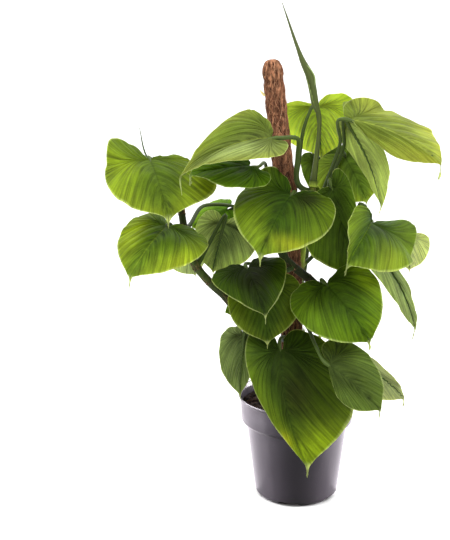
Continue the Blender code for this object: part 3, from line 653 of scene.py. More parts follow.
class Shape:
    """Meshes gathered into one piece, with a colour and a grain vector at every corner point."""

    def __init__(self):
        self.points = []
        self.tones = []
        self.grains = []
        self.faces = []
        self.slots = []
        self.count = 0

    def add(self, points, faces, slots, tone, grain=(0, 0, 0)):
        """Adds points and groups of faces. slots is one material slot, or one for each group."""
        points = np.asarray(points, float).reshape(-1, 3)
        self.points.append(points)
        self.tones.append(np.broadcast_to(tone, points.shape))
        self.grains.append(np.broadcast_to(grain, points.shape))
        groups = faces if isinstance(faces, list) else [faces]
        for group, slot in zip(groups, np.broadcast_to(slots, len(groups))):
            self.faces.append(np.asarray(group) + self.count)
            self.slots.append(np.full(len(group), slot))
        self.count += len(points)

    def make(self, name, finishes, record_slot, *nodes, crease=60):
        points = np.vstack(self.points)
        mesh = bpy.data.meshes.new(name)
        sizes = np.concatenate([np.full(len(group), group.shape[1]) for group in self.faces])
        corners = np.concatenate([group.ravel() for group in self.faces])
        mesh.vertices.add(len(points))
        mesh.vertices.foreach_set("co", points.ravel())
        mesh.loops.add(len(corners))
        mesh.loops.foreach_set("vertex_index", corners)
        mesh.polygons.add(len(sizes))
        mesh.polygons.foreach_set("loop_start", np.concatenate([[0], np.cumsum(sizes)[:-1]]))
        for finish in finishes:
            mesh.materials.append(finish)
        mesh.polygons.foreach_set("material_index", np.concatenate(self.slots))
        tones = np.hstack([np.vstack(self.tones), np.ones((len(points), 1))])
        mesh.attributes.new("tone", "FLOAT_COLOR", "POINT").data.foreach_set("color", tones.ravel())
        grains = np.vstack(self.grains)
        mesh.attributes.new("grain", "FLOAT_VECTOR", "POINT").data.foreach_set("vector", grains.ravel())
        mesh.update(calc_edges=True)
        mesh.validate()
        mesh.shade_smooth()
        mesh.set_sharp_from_angle(angle=math.radians(crease))
        thing = new_object(name, mesh)
        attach(thing, "root")
        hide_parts(*nodes)
        return thing


def frames(points):
    """Two directions across a line at each of its points, carried along it without turning."""
    tangents = np.gradient(points, axis=0)
    tangents /= np.linalg.norm(tangents, axis=1)[:, None]
    across = np.zeros_like(points)
    last = np.cross(tangents[0], (0.31, 0.95, 0.11))
    for i, tangent in enumerate(tangents):
        last = unit(last - last.dot(tangent) * tangent)
        across[i] = last
    return across, np.cross(tangents, across)


def ring_faces(rings, sides):
    index = np.arange(rings * sides).reshape(rings, sides)
    after = np.roll(index, -1, axis=1)
    return np.stack([index[:-1], after[:-1], after[1:], index[1:]], -1).reshape(-1, 4)


def tube_points(points, radii, sides):
    """Rings round a line. radii holds one radius for each point, or one for each point and side."""
    across, other = frames(points)
    turns = np.linspace(0, 2 * math.pi, sides, endpoint=False)
    ring = np.cos(turns)[None, :, None] * across[:, None] + np.sin(turns)[None, :, None] * other[:, None]
    radii = np.asarray(radii, float)
    if radii.ndim == 1:
        radii = np.broadcast_to(radii[:, None], (len(points), sides))
    return points[:, None] + radii[:, :, None] * ring


def add_tube(shape, points, radii, sides, slot, tone):
    """A tube with flat ends. tone is one colour, or one for each point of the line or each corner."""
    points = np.asarray(points, float)
    tone = np.asarray(tone, float)
    if tone.ndim == 2:
        tone = np.repeat(tone, sides, axis=0)
    elif tone.ndim == 3:
        tone = tone.reshape(-1, 3)
    turn = np.linspace(0, 1, sides, endpoint=False)
    turn = np.minimum(turn, 1 - turn)
    grain = np.stack(np.broadcast_arrays(lengths_along(points)[:, None], turn[None], 0.0), -1)
    last = np.arange(sides) + (len(points) - 1) * sides
    faces = [ring_faces(len(points), sides), np.arange(sides)[::-1][None], last[None]]
    shape.add(tube_points(points, radii, sides), faces, slot, tone, grain.reshape(-1, 3))


def add_strands(shape, paths, outwards, widths, tones):
    """Thin closed strands along a surface that faces outwards, with one tone for each strand."""
    across = np.cross(outwards, np.gradient(paths, axis=1))
    across /= np.maximum(np.linalg.norm(across, axis=-1), 1e-9)[..., None]
    turns = np.linspace(0, 2 * math.pi, STRAND_SIDES, endpoint=False)[None, None, :, None]
    ring = np.cos(turns) * across[:, :, None] + np.sin(turns) * outwards[:, :, None]
    points = paths[:, :, None] + widths[:, :, None, None] * ring
    index = np.arange(points[..., 0].size).reshape(points.shape[:3])
    after = np.roll(index, -1, axis=2)
    walls = np.stack([index[:, :-1], after[:, :-1], after[:, 1:], index[:, 1:]], -1).reshape(-1, 4)
    tones = np.repeat(tones, paths.shape[1] * STRAND_SIDES, axis=0)
    shape.add(points, [walls, index[:, 0, ::-1], index[:, -1]], 1, tones)


def turned(profile, sides):
    """Points and faces of a solid of revolution whose profile starts and ends on the axis."""
    turns = np.linspace(0, 2 * math.pi, sides, endpoint=False)
    profile = np.array(profile, float)
    middle = profile[1:-1]
    x = middle[:, :1] * np.sin(turns)
    y = -middle[:, :1] * np.cos(turns)
    z = np.broadcast_to(middle[:, 1:], x.shape)
    points = np.stack([x, y, z], -1).reshape(-1, 3)
    count = len(points)
    points = np.vstack([points, (0, 0, profile[0, 1]), (0, 0, profile[-1, 1])])
    index = np.arange(sides)
    last = index + count - sides
    foot = np.stack([np.full(sides, count), np.roll(index, -1), index], -1)
    head = np.stack([np.full(sides, count + 1), last, np.roll(last, -1)], -1)
    return points, [ring_faces(len(middle), sides), foot, head]


def rounded(profile, radius, steps=4):
    """The profile with its inner corners rounded, each by at most a third of its shorter side."""
    profile = np.array(profile, float)
    result = [profile[0]]
    for before, corner, after in zip(profile, profile[1:], profile[2:]):
        back = before - corner
        on = after - corner
        reach = min(radius, np.linalg.norm(back) / 3, np.linalg.norm(on) / 3)
        start = corner + unit(back) * reach
        end = corner + unit(on) * reach
        for t in np.linspace(0, 1, steps):
            result.append((1 - t) ** 2 * start + 2 * t * (1 - t) * corner + t * t * end)
    result.append(profile[-1])
    return result


# Materials


def add_node(tree, kind, inputs=None, **settings):
    made = tree.nodes.new(kind)
    for key, value in settings.items():
        setattr(made, key, value)
    for socket, value in (inputs or {}).items():
        if isinstance(value, bpy.types.NodeSocket):
            tree.links.new(value, made.inputs[socket])
        else:
            made.inputs[socket].default_value = value
    return made


def maths(tree, operation, a, b=0.0, c=0.0):
    return add_node(tree, "ShaderNodeMath", {0: a, 1: b, 2: c}, operation=operation).outputs[0]


def summed(tree, total, *terms):
    """The total plus each term's value times its share."""
    for value, share in terms:
        total = maths(tree, "MULTIPLY_ADD", value, share, total)
    return total


def product(tree, total, *values):
    for value in values:
        total = maths(tree, "MULTIPLY", total, value)
    return total


def spread(tree, value, low, high, to_low=0.0, to_high=1.0, smooth=True):
    kind = "SMOOTHSTEP" if smooth else "LINEAR"
    inputs = {"Value": value, "From Min": low, "From Max": high, "To Min": to_low, "To Max": to_high}
    return add_node(tree, "ShaderNodeMapRange", inputs, interpolation_type=kind).outputs[0]


def mixed(tree, factor, a, b, mode="MIX"):
    made = add_node(tree, "ShaderNodeMix", data_type="RGBA", blend_type=mode)
    for socket, value in ((0, factor), (6, a), (7, b)):
        if isinstance(value, bpy.types.NodeSocket):
            tree.links.new(value, made.inputs[socket])
        elif socket == 0:
            made.inputs[socket].default_value = value
        else:
            made.inputs[socket].default_value = (*value, 1.0)
    return made.outputs[2]


def noise(tree, scale, detail=3.0, stretch=(1, 1, 1), source=None):
    """Noise in the object's own space, in turns per metre, stretched along its axes."""
    if source is None:
        source = add_node(tree, "ShaderNodeTexCoord").outputs["Object"]
    place = add_node(tree, "ShaderNodeMapping", {"Vector": source, "Scale": stretch}).outputs[0]
    inputs = {"Vector": place, "Scale": scale, "Detail": detail, "Roughness": 0.55}
    return add_node(tree, "ShaderNodeTexNoise", inputs).outputs[0]


def swing(tree, *noise_values):
    """Noise that swings from -1 to 1."""
    return spread(tree, noise(tree, *noise_values), 0.3, 0.7, -1.0, 1.0)


def new_material(name, specular, roughness=0.5):
    made = bpy.data.materials.new(name)
    made.use_nodes = True
    shader = made.node_tree.nodes["Principled BSDF"]
    shader.inputs["Specular IOR Level"].default_value = specular
    shader.inputs["Roughness"].default_value = roughness
    return made, made.node_tree, shader


def dress(tree, shader, surface, height, distance):
    """Gives the shader its colour and its fine relief."""
    tree.links.new(surface, shader.inputs["Base Color"])
    bump = add_node(tree, "ShaderNodeBump", {"Height": height, "Distance": distance, "Strength": 1.0})
    tree.links.new(bump.outputs[0], shader.inputs["Normal"])


def attribute(tree, name, output):
    return add_node(tree, "ShaderNodeAttribute", attribute_name=name).outputs[output]


def toned(tree, value):
    """The piece's own tone, made darker or lighter."""
    return mixed(tree, 1.0, attribute(tree, "tone", "Color"), value, "MULTIPLY")


def leaf_material(name, roughness, glow, pale_veins, bump):
    """A blade's surface: colour from its tone, veins from its grain, and light that comes through."""
    made, tree, shader = new_material(name, 0.05, roughness)
    place = attribute(tree, "grain", "Vector")
    grain = add_node(tree, "ShaderNodeSeparateXYZ", {0: place})
    away = spread(tree, grain.outputs[1], 0.0, 0.2)
    inner = spread(tree, grain.outputs[1], 0.4, 1.0, 1.0, 0.35)
    vein = maths(tree, "ABSOLUTE", maths(tree, "SUBTRACT", maths(tree, "FRACT", grain.outputs[0]), 0.5))
    bands = swing(tree, 1.0, 1.0, (0.8, 1.6, 1), place)
    streaks = swing(tree, 1.0, 2.0, (4.2, 1.8, 1), place)
    fine = swing(tree, 1.0, 3.0, (7.5, 3.0, 1), place)
    mottle = swing(tree, 420.0, 3.0)
    broad = swing(tree, 30.0, 2.0)
    uneven = spread(tree, noise(tree, 1.0, 1.0, (1.3, 2.6, 1), place), 0.35, 0.65, 0.35, 1.0)
    line = product(tree, spread(tree, vein, 0.42, 0.5), away)
    # Painted shade darkens the creases along the sunk veins
    vein_crease_shade = product(tree, spread(tree, vein, 0.24, 0.5), away, inner, uneven)
    value = summed(tree, 1.16, (bands, 0.08), (broad, 0.10), (streaks, 0.25), (fine, 0.20))
    surface = toned(tree, summed(tree, value, (mottle, 0.07), (vein_crease_shade, -0.44)))
    surface = mixed(tree, product(tree, line, uneven, pale_veins), surface, colour("#a9bd74"))
    height = summed(tree, 0.0, (line, -0.6), (streaks, 0.25), (fine, 0.25), (mottle, 0.10))
    dress(tree, shader, surface, height, bump)
    through = mixed(tree, 1.0, surface, (2.5, 2.2, 0.7), "MULTIPLY")
    thin = add_node(tree, "ShaderNodeBsdfTranslucent", {"Color": through})
    share = add_node(tree, "ShaderNodeMixShader", {0: glow, 1: shader.outputs[0], 2: thin.outputs[0]})
    tree.links.new(share.outputs[0], tree.nodes["Material Output"].inputs["Surface"])
    return made


def stalk_material():
    made, tree, shader = new_material("stalk", 0.15, 0.45)
    grain = add_node(tree, "ShaderNodeSeparateXYZ", {0: attribute(tree, "grain", "Vector")})
    joined = add_node(tree, "ShaderNodeCombineXYZ", {0: grain.outputs[0], 1: grain.outputs[1]})
    streaks = noise(tree, 22.0, 3.0, (3, 2.2, 1), joined.outputs[0])
    flecks = noise(tree, 900.0, 2.0)
    value = spread(tree, streaks, 0.25, 0.75, 0.8, 1.2, False)
    value = summed(tree, value, (spread(tree, flecks, 0.55, 0.75), 0.12))
    dress(tree, shader, toned(tree, value), summed(tree, streaks, (flecks, 0.3)), 0.0005)
    return made


def stem_material():
    made, tree, shader = new_material("stem", 0.12, 0.6)
    bark = noise(tree, 160.0, 4.0, (1, 1, 0.35))
    flecks = noise(tree, 700.0, 3.0)
    surface = toned(tree, spread(tree, bark, 0.3, 0.7, 0.65, 1.35, False))
    surface = mixed(tree, spread(tree, flecks, 0.60, 0.72, 0.0, 0.35), surface, colour("#7b6a45"))
    dress(tree, shader, surface, summed(tree, bark, (flecks, 0.4)), 0.0009)
    return made


def coir_material(name, strength):
    made, tree, shader = new_material(name, 0.2, 0.85)
    lengthwise = noise(tree, 420.0, 4.0, (1, 1, 0.12))
    cross = noise(tree, 900.0, 2.0)
    value = spread(tree, lengthwise, 0.3, 0.7, 1 - strength, 1 + strength, False)
    value = summed(tree, value, (spread(tree, cross, 0.3, 0.7, -1.0, 1.0), 0.12))
    dress(tree, shader, toned(tree, value), summed(tree, lengthwise, (cross, 0.3)), 0.0016)
    return made


def soil_material():
    made, tree, shader = new_material("soil_crumb", 0.25, 0.92)
    value = spread(tree, noise(tree, 350.0, 5.0), 0.3, 0.7, 0.6, 1.5, False)
    dress(tree, shader, toned(tree, value), noise(tree, 900.0, 4.0), 0.0012)
    return made


def pot_material():
    made, tree, shader = new_material("pot_gloss", 0.08)
    drawn = noise(tree, 60.0, 3.0, (1, 1, 0.05))
    dust = noise(tree, 480.0, 4.0)
    base = mixed(tree, spread(tree, noise(tree, 9.0, 3.0), 0.3, 0.7), *POT_BLACKS)
    base = mixed(tree, spread(tree, dust, 0.62, 0.80, 0.0, 0.30), base, POT_DUST)
    rough = spread(tree, drawn, 0.3, 0.7, 0.30, 0.38, False)
    rough = summed(tree, rough, (spread(tree, dust, 0.5, 0.8), 0.12))
    tree.links.new(rough, shader.inputs["Roughness"])
    dress(tree, shader, base, summed(tree, drawn, (dust, 0.15)), 0.00025)
    return made


def grained_material(name, specular, roughness, noise_values, low, high, distance):
    """A surface whose colour and relief follow one noise."""
    made, tree, shader = new_material(name, specular, roughness)
    grain = noise(tree, *noise_values)
    dress(tree, shader, mixed(tree, grain, colour(low), colour(high)), grain, distance)
    return made


def floor_material():
    made, tree, shader = new_material("floor_paper", 0.2, 0.8)
    paper = mixed(tree, noise(tree, 5.0, 3.0), (0.86, 0.86, 0.86), (0.88, 0.88, 0.88))
    tree.links.new(paper, shader.inputs["Base Color"])
    return made


# Leaves


def outline_rows():
    """u and v of the margin at each row, and the row's place among the veins."""
    corners = np.array([(u, v, 0.0) for u, v in HALF_OUTLINE])
    line = smooth_route(corners, OUTLINE_STEP)
    along = lengths_along(line)
    along /= along[-1]
    wanted = np.linspace(0, 1, VEINS * ROWS_PER_VEIN + 1)
    late = np.linspace(1 - 1.0 / VEINS, 1, 2 * ROWS_PER_VEIN + 1)
    wanted = np.unique(np.concatenate([wanted, late]).round(6))
    u = np.interp(wanted, along, line[:, 0])
    v = np.maximum(np.interp(wanted, along, line[:, 1]), 0)
    return u, v, wanted * VEINS


def vertex_normals(points, triangles):
    normals = np.zeros_like(points)
    a, b, c = (points[triangles[:, k]] for k in range(3))
    cross = np.cross(b - a, c - a)
    for k in range(3):
        np.add.at(normals, triangles[:, k], cross)
    return normals / np.maximum(np.linalg.norm(normals, axis=1), 1e-12)[:, None]


def blade_shell(leaf, number):
    """The sheet's points, normals and triangles, with its row, its step and its place on the blade."""
    row_u, row_v, phase = outline_rows()
    first, second = np.random.default_rng(40 + number).uniform(0, 2 * math.pi, 2)
    phase = phase + 0.22 * np.sin(1.2 * phase + first) + 0.10 * np.sin(2.3 * phase + second)
    steps = np.array([*FIRST_STEPS, *np.arange(0.17, 0.90, 0.07), *LAST_STEPS])
    sheets = []
    for half in (-1, 1):
        lobes = leaf["lobes"][int(half > 0)]
        edge_u = np.where(row_u < 0, row_u * lobes, row_u)[:, None]
        root = np.maximum(0, (row_u - VEIN_ROOT) / (1 - VEIN_ROOT))[:, None] ** VEIN_CROWDING
        curve = VEIN_CURVE[1] + (VEIN_CURVE[0] - VEIN_CURVE[1]) * np.exp(-root / VEIN_CURVE_FADE)
        u = root + (edge_u - root) * steps**curve
        v = half * row_v[:, None] * steps
        sheets.append((u, v))
    u = np.stack([sheet[0] for sheet in sheets])
    v = np.stack([sheet[1] for sheet in sheets])
    rows = np.broadcast_to(phase[None, :, None], u.shape)
    step = np.broadcast_to(steps, u.shape)
    points = blade_points(leaf, u, v)
    index = np.arange(u.size).reshape(u.shape)
    quads = np.stack([index[:, :-1, :-1], index[:, :-1, 1:], index[:, 1:, 1:], index[:, 1:, :-1]], -1)
    quads[1] = quads[1][..., ::-1]
    quads = quads.reshape(-1, 4)
    triangles = np.vstack([quads[:, :3], quads[:, [0, 2, 3]]])
    flat = points.reshape(-1, 3)
    _, first, same = np.unique(flat.round(7), axis=0, return_index=True, return_inverse=True)
    same = same.ravel()
    triangles = same[triangles]
    triangles = triangles[(triangles != np.roll(triangles, 1, axis=1)).all(1)]
    flat = flat[first]
    u, v, rows, step = (array.ravel()[first] for array in (u, v, rows, step))
    normals = vertex_normals(flat, triangles)
    return flat, normals, triangles, u, v, rows, step


def relief(leaf, points, u, v, rows, step, number):
    """How far the blade stands above its middle sheet: pillows between sunk veins, and a waved margin."""
    rng = np.random.default_rng(100 + number)
    size = min(1.0, blade_length(leaf) / FULL_RELIEF_LENGTH, max(leaf["width"]) / FULL_RELIEF_WIDTH)
    away = ease(step, 0.04, 0.3) * (1 - 0.6 * ease(step, 0.45, 1))
    pillow = np.abs(np.sin(math.pi * rows)) ** 0.75 - 0.6
    depth = np.interp(rows, np.arange(-1, VEINS + 2), rng.uniform(0.3, 1.5, VEINS + 3))
    height = VEIN_RELIEF * size * depth * pillow * away
    from_rib = abs(v) * by_half(v, leaf["width"])
    height -= MIDRIB_GROOVE * bell(from_rib, GROOVE_WIDTH) * (1 - ease(u, 0.75, 0.95))
    side = np.where(v > 0, rng.uniform(0, 6.3), rng.uniform(0, 6.3))
    beat = rows / VEINS * 2 * math.pi
    wave = np.sin(WAVES * beat + side) + 0.5 * np.sin(2.3 * WAVES * beat + 2 * side)
    height += WAVE * size * wave * step**3 * (1 - ease(u, 0.75, 0.9))
    height += UNDULATION * size * ripple(points, 55.0, 200 + number, 2) * ease(step, 0.1, 0.4)
    return height


def open_edges(triangles):
    """The sheet's margin, as directed edges that belong to one triangle alone."""
    edges = np.vstack([triangles[:, [0, 1]], triangles[:, [1, 2]], triangles[:, [2, 0]]])
    count = triangles.max() + 1
    forward = edges[:, 0] * count + edges[:, 1]
    backward = edges[:, 1] * count + edges[:, 0]
    return edges[~np.isin(forward, backward)]


def leaf_tones(name, points, u, v, rows, step, number):
    """Upper and lower colours of a blade at its points."""
    inner, outer, dark, yellowing_and_glow = SHADES.get(name, SHADES["usual"])
    inner, outer = colour(inner), colour(outer)
    drift = ripple(points, 45.0, 300 + number, 2)
    reach = np.clip(abs(v) * 0.9 + np.maximum(u, 0) ** 2 * 0.6, 0, 1)
    upper = blend(inner, outer, ease(reach + 0.12 * drift, 0.15, 1.0))
    # Painted shade: the middle near the sinus is darker by the dark share, where the leaves above shadow
    # it
    upper = upper * (1 - 0.5 * dark * bell(u - 0.12, 0.34) * bell(v, 0.42))[:, None]
    # The margin turns yellower and brighter: partly the blade's own yellowing, partly painted glow of
    # light through the thin edge
    edge = ease(step + 0.1 * drift, 0.55, 1.05) * ease(u, 0.0, 0.9)
    upper = blend(upper, outer * np.array((1.30, 1.12, 0.75)), yellowing_and_glow * edge)
    under_tones = map(colour, UNDERSIDES.get(name, UNDERSIDES["usual"]))
    under = blend(*under_tones, ease(step + 0.15 * drift, 0.1, 0.9))
    # The patches add painted shade, a painted sheen and painted light, with some of the blade's own
    # yellowing
    for at_u, at_v, reach_u, reach_v, tone, amount in TONE_AND_PAINTED_LIGHT_PATCHES.get(name, ()):
        patch = bell(u - at_u, reach_u) * bell(v - at_v, reach_v)
        upper = blend(upper, colour(tone), amount * patch * (1 + 0.3 * drift))
    # Painted shade in the creases along the sunk veins, on both faces
    crease_shade = by_half(v, PAINTED_CREASE_SHADE.get(name, PAINTED_CREASE_SHADE["usual"]))
    crease_shade = crease_shade * ease(step, 0.05, 0.2) * (1 - 0.7 * ease(step, 0.35, 0.9))
    crease_shade = crease_shade * abs(np.cos(math.pi * rows)) ** 3 * ease(rows, 13, 9)
    upper = upper * (1 - crease_shade)[:, None]
    under = under * (1 - crease_shade)[:, None]
    # Along the midrib a thin line: pale on the PALE_MIDRIBS leaves, their own colour; on the rest darker,
    # painted shade in the midrib's groove
    rib = bell(abs(v) * by_half(v, leaves[name]["width"]), MIDRIB_LINE)
    line = outer * 1.3 if name in PALE_MIDRIBS else inner * 0.6
    upper = blend(upper, line, 0.6 * rib * (u < 0.9))
    margin = ease(step, 0.975, 1.0)
    tip = ease(u, 0.91, 0.97)
    upper = blend(blend(upper, colour(MARGIN), 0.45 * margin), colour(TIP), 0.7 * tip)
    under = blend(blend(under, colour(MARGIN), 0.6 * margin), colour(TIP), 0.6 * tip)
    return upper, under


def make_leaf(name, number):
    """The blade as a closed shell, and its stalk, which runs on under it as the midrib."""
    leaf = leaves[name]
    shape = Shape()
    points, normals, triangles, u, v, rows, step = blade_shell(leaf, number)
    points = points + normals * relief(leaf, points, u, v, rows, step, number)[:, None]
    normals = vertex_normals(points, triangles)
    thick = HALF_THICKNESS + (EDGE_THICKNESS - HALF_THICKNESS) * ease(step, 0.85, 1)
    thick = normals * thick[:, None]
    count = len(points)
    rim = open_edges(triangles)
    walls = np.stack([rim[:, 1], rim[:, 0], rim[:, 0] + count, rim[:, 1] + count], -1)
    faces = [triangles, walls, triangles[:, ::-1] + count]
    tones = np.vstack(leaf_tones(name, points, u, v, rows, step, number))
    grain = np.stack([rows, step, np.full(count, GRAIN_STEP * number)], -1)
    shell = np.vstack([points + thick, points - thick])
    shape.add(shell, faces, (0, 0, 1), tones, np.vstack([grain, grain]))
    stalk = free_stalk(leaf, STALK_STEP)
    share = np.linspace(0, 1, len(stalk))
    distance = lengths_along(stalk)
    left = distance[-1] - distance
    stalk = stalk - blade_axes(leaf)[1] * (NECK_SINK * ease(left, NECK_LENGTH, 0.004))[:, None]
    foot, head = leaf["stalk_radius"]
    radii = foot + (head - foot) * share
    radii += NECK_SWELL * bell(left - NECK_LENGTH, 0.007) + FOOT_SWELL * bell(distance, 0.006)
    rib_u = np.linspace(STALK_REACH / blade_length(leaf), MIDRIB_END, MIDRIB_POINTS)[1:]
    rib = blade_points(leaf, rib_u, np.zeros_like(rib_u))
    nearest = ((rib[:, None] - points[None]) ** 2).sum(-1).argmin(1)
    fade = (rib_u - rib_u[0]) / (rib_u[-1] - rib_u[0])
    rib_radii = head + (MIDRIB_END_RADIUS - head) * fade**0.7
    rib = rib - normals[nearest] * (rib_radii + MIDRIB_GROOVE)[:, None]
    route = np.vstack([stalk, rib])
    paleness = np.concatenate([0.2 + 0.5 * share, np.linspace(0.7, 1, len(rib))])
    tone = blend(*map(colour, STALK_GREEN), paleness)
    tone = tone * (1 + 0.12 * ripple(route, 60.0, 500 + number, 2))[:, None]
    add_tube(shape, route, np.concatenate([radii, rib_radii]), STALK_SIDES, 2, tone)
    shape.make(name + "_fine", [leaf_upper, leaf_under, stalk_finish], "leaf_green", name)


# Stems, shoots, pole and tie


def fibre_tones(picks, brightness):
    return np.array([colour(text) for text in FIBRE_BROWNS])[picks] * brightness[:, None]


def make_stem(name, number):
    """The stem with its ring scars and knuckles, and brown fibres of old leaf sheaths at its nodes."""
    shape = Shape()
    rng = np.random.default_rng(700 + number)
    route, radii = stem_line(name)
    fine = resample(route, STEM_FINE_STEP)
    distance = lengths_along(fine)
    radii = np.interp(distance, lengths_along(route), radii)
    carried = [grown for grown in [*leaves.values(), *SHOOTS.values()] if grown["stem"] == name]
    nodes = np.array([grown["node"] * distance[-1] for grown in carried])
    evenly = np.arange(FIRST_SCAR, distance[-1], SCAR_SPACING)
    free = [at for at in evenly if abs(nodes - at).min() > SCAR_CLEARANCE]
    scars = sorted([*nodes, *free])
    ring = np.zeros(len(fine))
    dark = np.zeros(len(fine))
    for at in scars:
        offset = distance - at + SCAR_LEAD
        ring += SCAR_RIDGE * (bell(offset, SCAR_WIDTH) - 0.5 * bell(offset - 0.003, SCAR_WIDTH))
        dark = np.maximum(dark, bell(offset, 0.0022))
    radii = radii + ring
    wobble = 1 + 0.03 * ripple(fine, 90.0, 710 + number, 2)
    old, old_deep = map(colour, STEM_OLD)
    young, young_deep = map(colour, STEM_YOUNG[name])
    youth = ease(fine[:, 2], *STEM_YOUNG_HEIGHTS)
    depth = 0.5 + 0.5 * ripple(fine, 50.0, 720 + number, 2)
    tone = blend(blend(old, young, youth), blend(old_deep, young_deep, youth), depth)
    add_tube(shape, fine, radii * wobble, STEM_SIDES, 0, blend(tone, old, 0.6 * dark))
    for grown in carried:
        line, stem_radius = stalk_line(grown)
        stub = stretch_of(line, 0, stem_radius + KNUCKLE_LENGTH, KNUCKLE_STEP)
        base = grown["radii" if "radii" in grown else "stalk_radius"][0]
        out = np.linspace(0, 1, len(stub))
        flare = base + KNUCKLE_SWELL + KNUCKLE_FLARE * (1 - out) ** 2
        add_tube(shape, stub, flare, KNUCKLE_SIDES, 0, blend(young, colour(STALK_GREEN[0]), out))
    across, other = frames(fine)
    steps = np.linspace(0, 1, 6)
    for at in scars:
        if at < FIRST_SHEATH:
            continue
        middle = int(np.argmin(abs(distance - at)))
        turns = rng.uniform(0, 2 * math.pi, SHEATH_FIBRES)
        lengths = rng.uniform(0.006, 0.020, SHEATH_FIBRES)
        reached = (steps * lengths[:, None] - SCAR_LEAD) / STEM_FINE_STEP
        index = np.clip(middle + reached.round().astype(int), 0, len(fine) - 1)
        ways = turns[:, None] + rng.normal(0, 0.25, SHEATH_FIBRES)[:, None] * steps
        outwards = np.cos(ways)[..., None] * across[index] + np.sin(ways)[..., None] * other[index]
        lift = radii[index] + 0.0001 + rng.uniform(0.0, 0.0022, SHEATH_FIBRES)[:, None] * steps**2
        paths = fine[index] + outwards * lift[..., None]
        widths = np.broadcast_to(SHEATH_FIBRE_WIDTH * (1 - 0.8 * steps), index.shape)
        picks = rng.integers(0, len(FIBRE_BROWNS), SHEATH_FIBRES)
        tones = fibre_tones(picks, rng.uniform(0.4, 0.9, SHEATH_FIBRES))
        add_strands(shape, paths, outwards, widths, tones)
    shape.make(name + "_fine", [stem_finish, fibre_finish], "stem_green", name)


def make_shoot(name):
    """A rolled leaf: a scroll whose free margin winds down its side, on its stalk."""
    shape = Shape()
    shoot = SHOOTS[name]
    route = free_stalk(shoot, SHOOT_STEP)
    share = np.linspace(0, 1, len(route))
    radii = np.interp(share, np.linspace(0, 1, len(shoot["radii"])), shoot["radii"])
    for _ in range(SHOOT_SMOOTHINGS):
        radii[1:-1] = (radii[:-2] + 2 * radii[1:-1] + radii[2:]) / 4
    rolled_from = shoot["rolled_from"]
    turns = np.linspace(0, 1, SHOOT_SIDES, endpoint=False)
    wind = (turns[None] + 0.9 * share[:, None] + 0.35) % 1.0
    rolled = ease(share, rolled_from - 0.03, rolled_from + 0.12)[:, None]
    scroll = 1 - 0.22 * rolled * np.exp(-wind / 0.10) + 0.05 * rolled * np.exp(-(1 - wind) / 0.05)
    ribs = 1 + 0.02 * rolled * np.cos(2 * math.pi * SHOOT_RIBS * wind)
    tone = blend(*map(colour, shoot["greens"]), ease(share, rolled_from, 1.0))
    tone = np.repeat(tone[:, None], SHOOT_SIDES, axis=1)
    pale = np.exp(-(1 - wind) / 0.03) * rolled * ease(share, 1.0, 0.75)[:, None]
    tone = blend(tone, colour("#9fb565"), 0.6 * pale)
    shadow = np.exp(-wind / 0.05) * rolled
    tone = tone * (1 - 0.5 * shadow)[..., None]
    add_tube(shape, route, radii[:, None] * scroll * ribs, SHOOT_SIDES, 0, tone)
    if name == "leaf_spear":
        down = np.linspace(0, 1, CURL_POINTS)
        bulge = np.sin(math.pi * down)
        curl = place_at(CURL_TOP - CURL_LENGTH * down, route[:, 2], route)
        curl[:, 0] += 0.0035 + 0.0032 * bulge
        curl[:, 1] -= 0.0040
        add_tube(shape, curl, 0.0002 + 0.0010 * bulge**0.5, CURL_SIDES, 0, colour("#82925a"))
    shape.make(name + "_fine", [stalk_finish], "leaf_green", name)


def make_pale_shoot():
    shape = Shape()
    line = smooth_route(PALE_SHOOT, PALE_SHOOT_STEP)
    radii = np.interp(np.linspace(0, 1, len(line)), (0, 0.5, 1), PALE_SHOOT_RADII)
    add_tube(shape, line, radii, STALK_SIDES, 0, colour("#d9c98a"))
    shape.make("pale_shoot_fine", [stalk_finish], "pale_shoot", "pale_shoot")


def pole_radii(along):
    """The sleeve's radius: bulges between tight bindings, and a domed top."""
    from_top = along[-1] - along
    radii = np.interp(along / along[-1], (0, 1), POLE_RADIUS)
    turn = from_top / BINDING_PITCH + 0.25
    pinch = np.abs(np.cos(math.pi * turn)) ** 0.6
    radii = radii - POLE_WAIST * (1 - pinch) * (0.8 + 1.7 * bell(from_top, 0.045))
    dome = np.clip(1 - from_top / 0.009, 0, 1)
    return radii * np.sqrt(np.maximum(1 - dome**2, 0.0)) + 0.0001


def fibre_clumps(places):
    """How far clumps of fibre stand out at places of the sleeve, from -1.4 to 1.4."""
    warped = places + 0.0016 * np.stack([ripple(places, 300.0, seed, 2) for seed in (44, 45, 46)], -1)
    clumps = ripple(warped * np.array((1, 1, 0.16)), 1300.0, 41, 2) + 0.4 * ripple(places, 500.0, 42, 2)
    return np.clip(clumps, -1.4, 1.4)


def painted_low_shade(height):
    """Painted shade: the pole's brightness at a height, darker on its lower part, where the leaves above
    shadow it.
    """
    return 0.65 + 0.35 * ease(height, 0.50, 0.64)


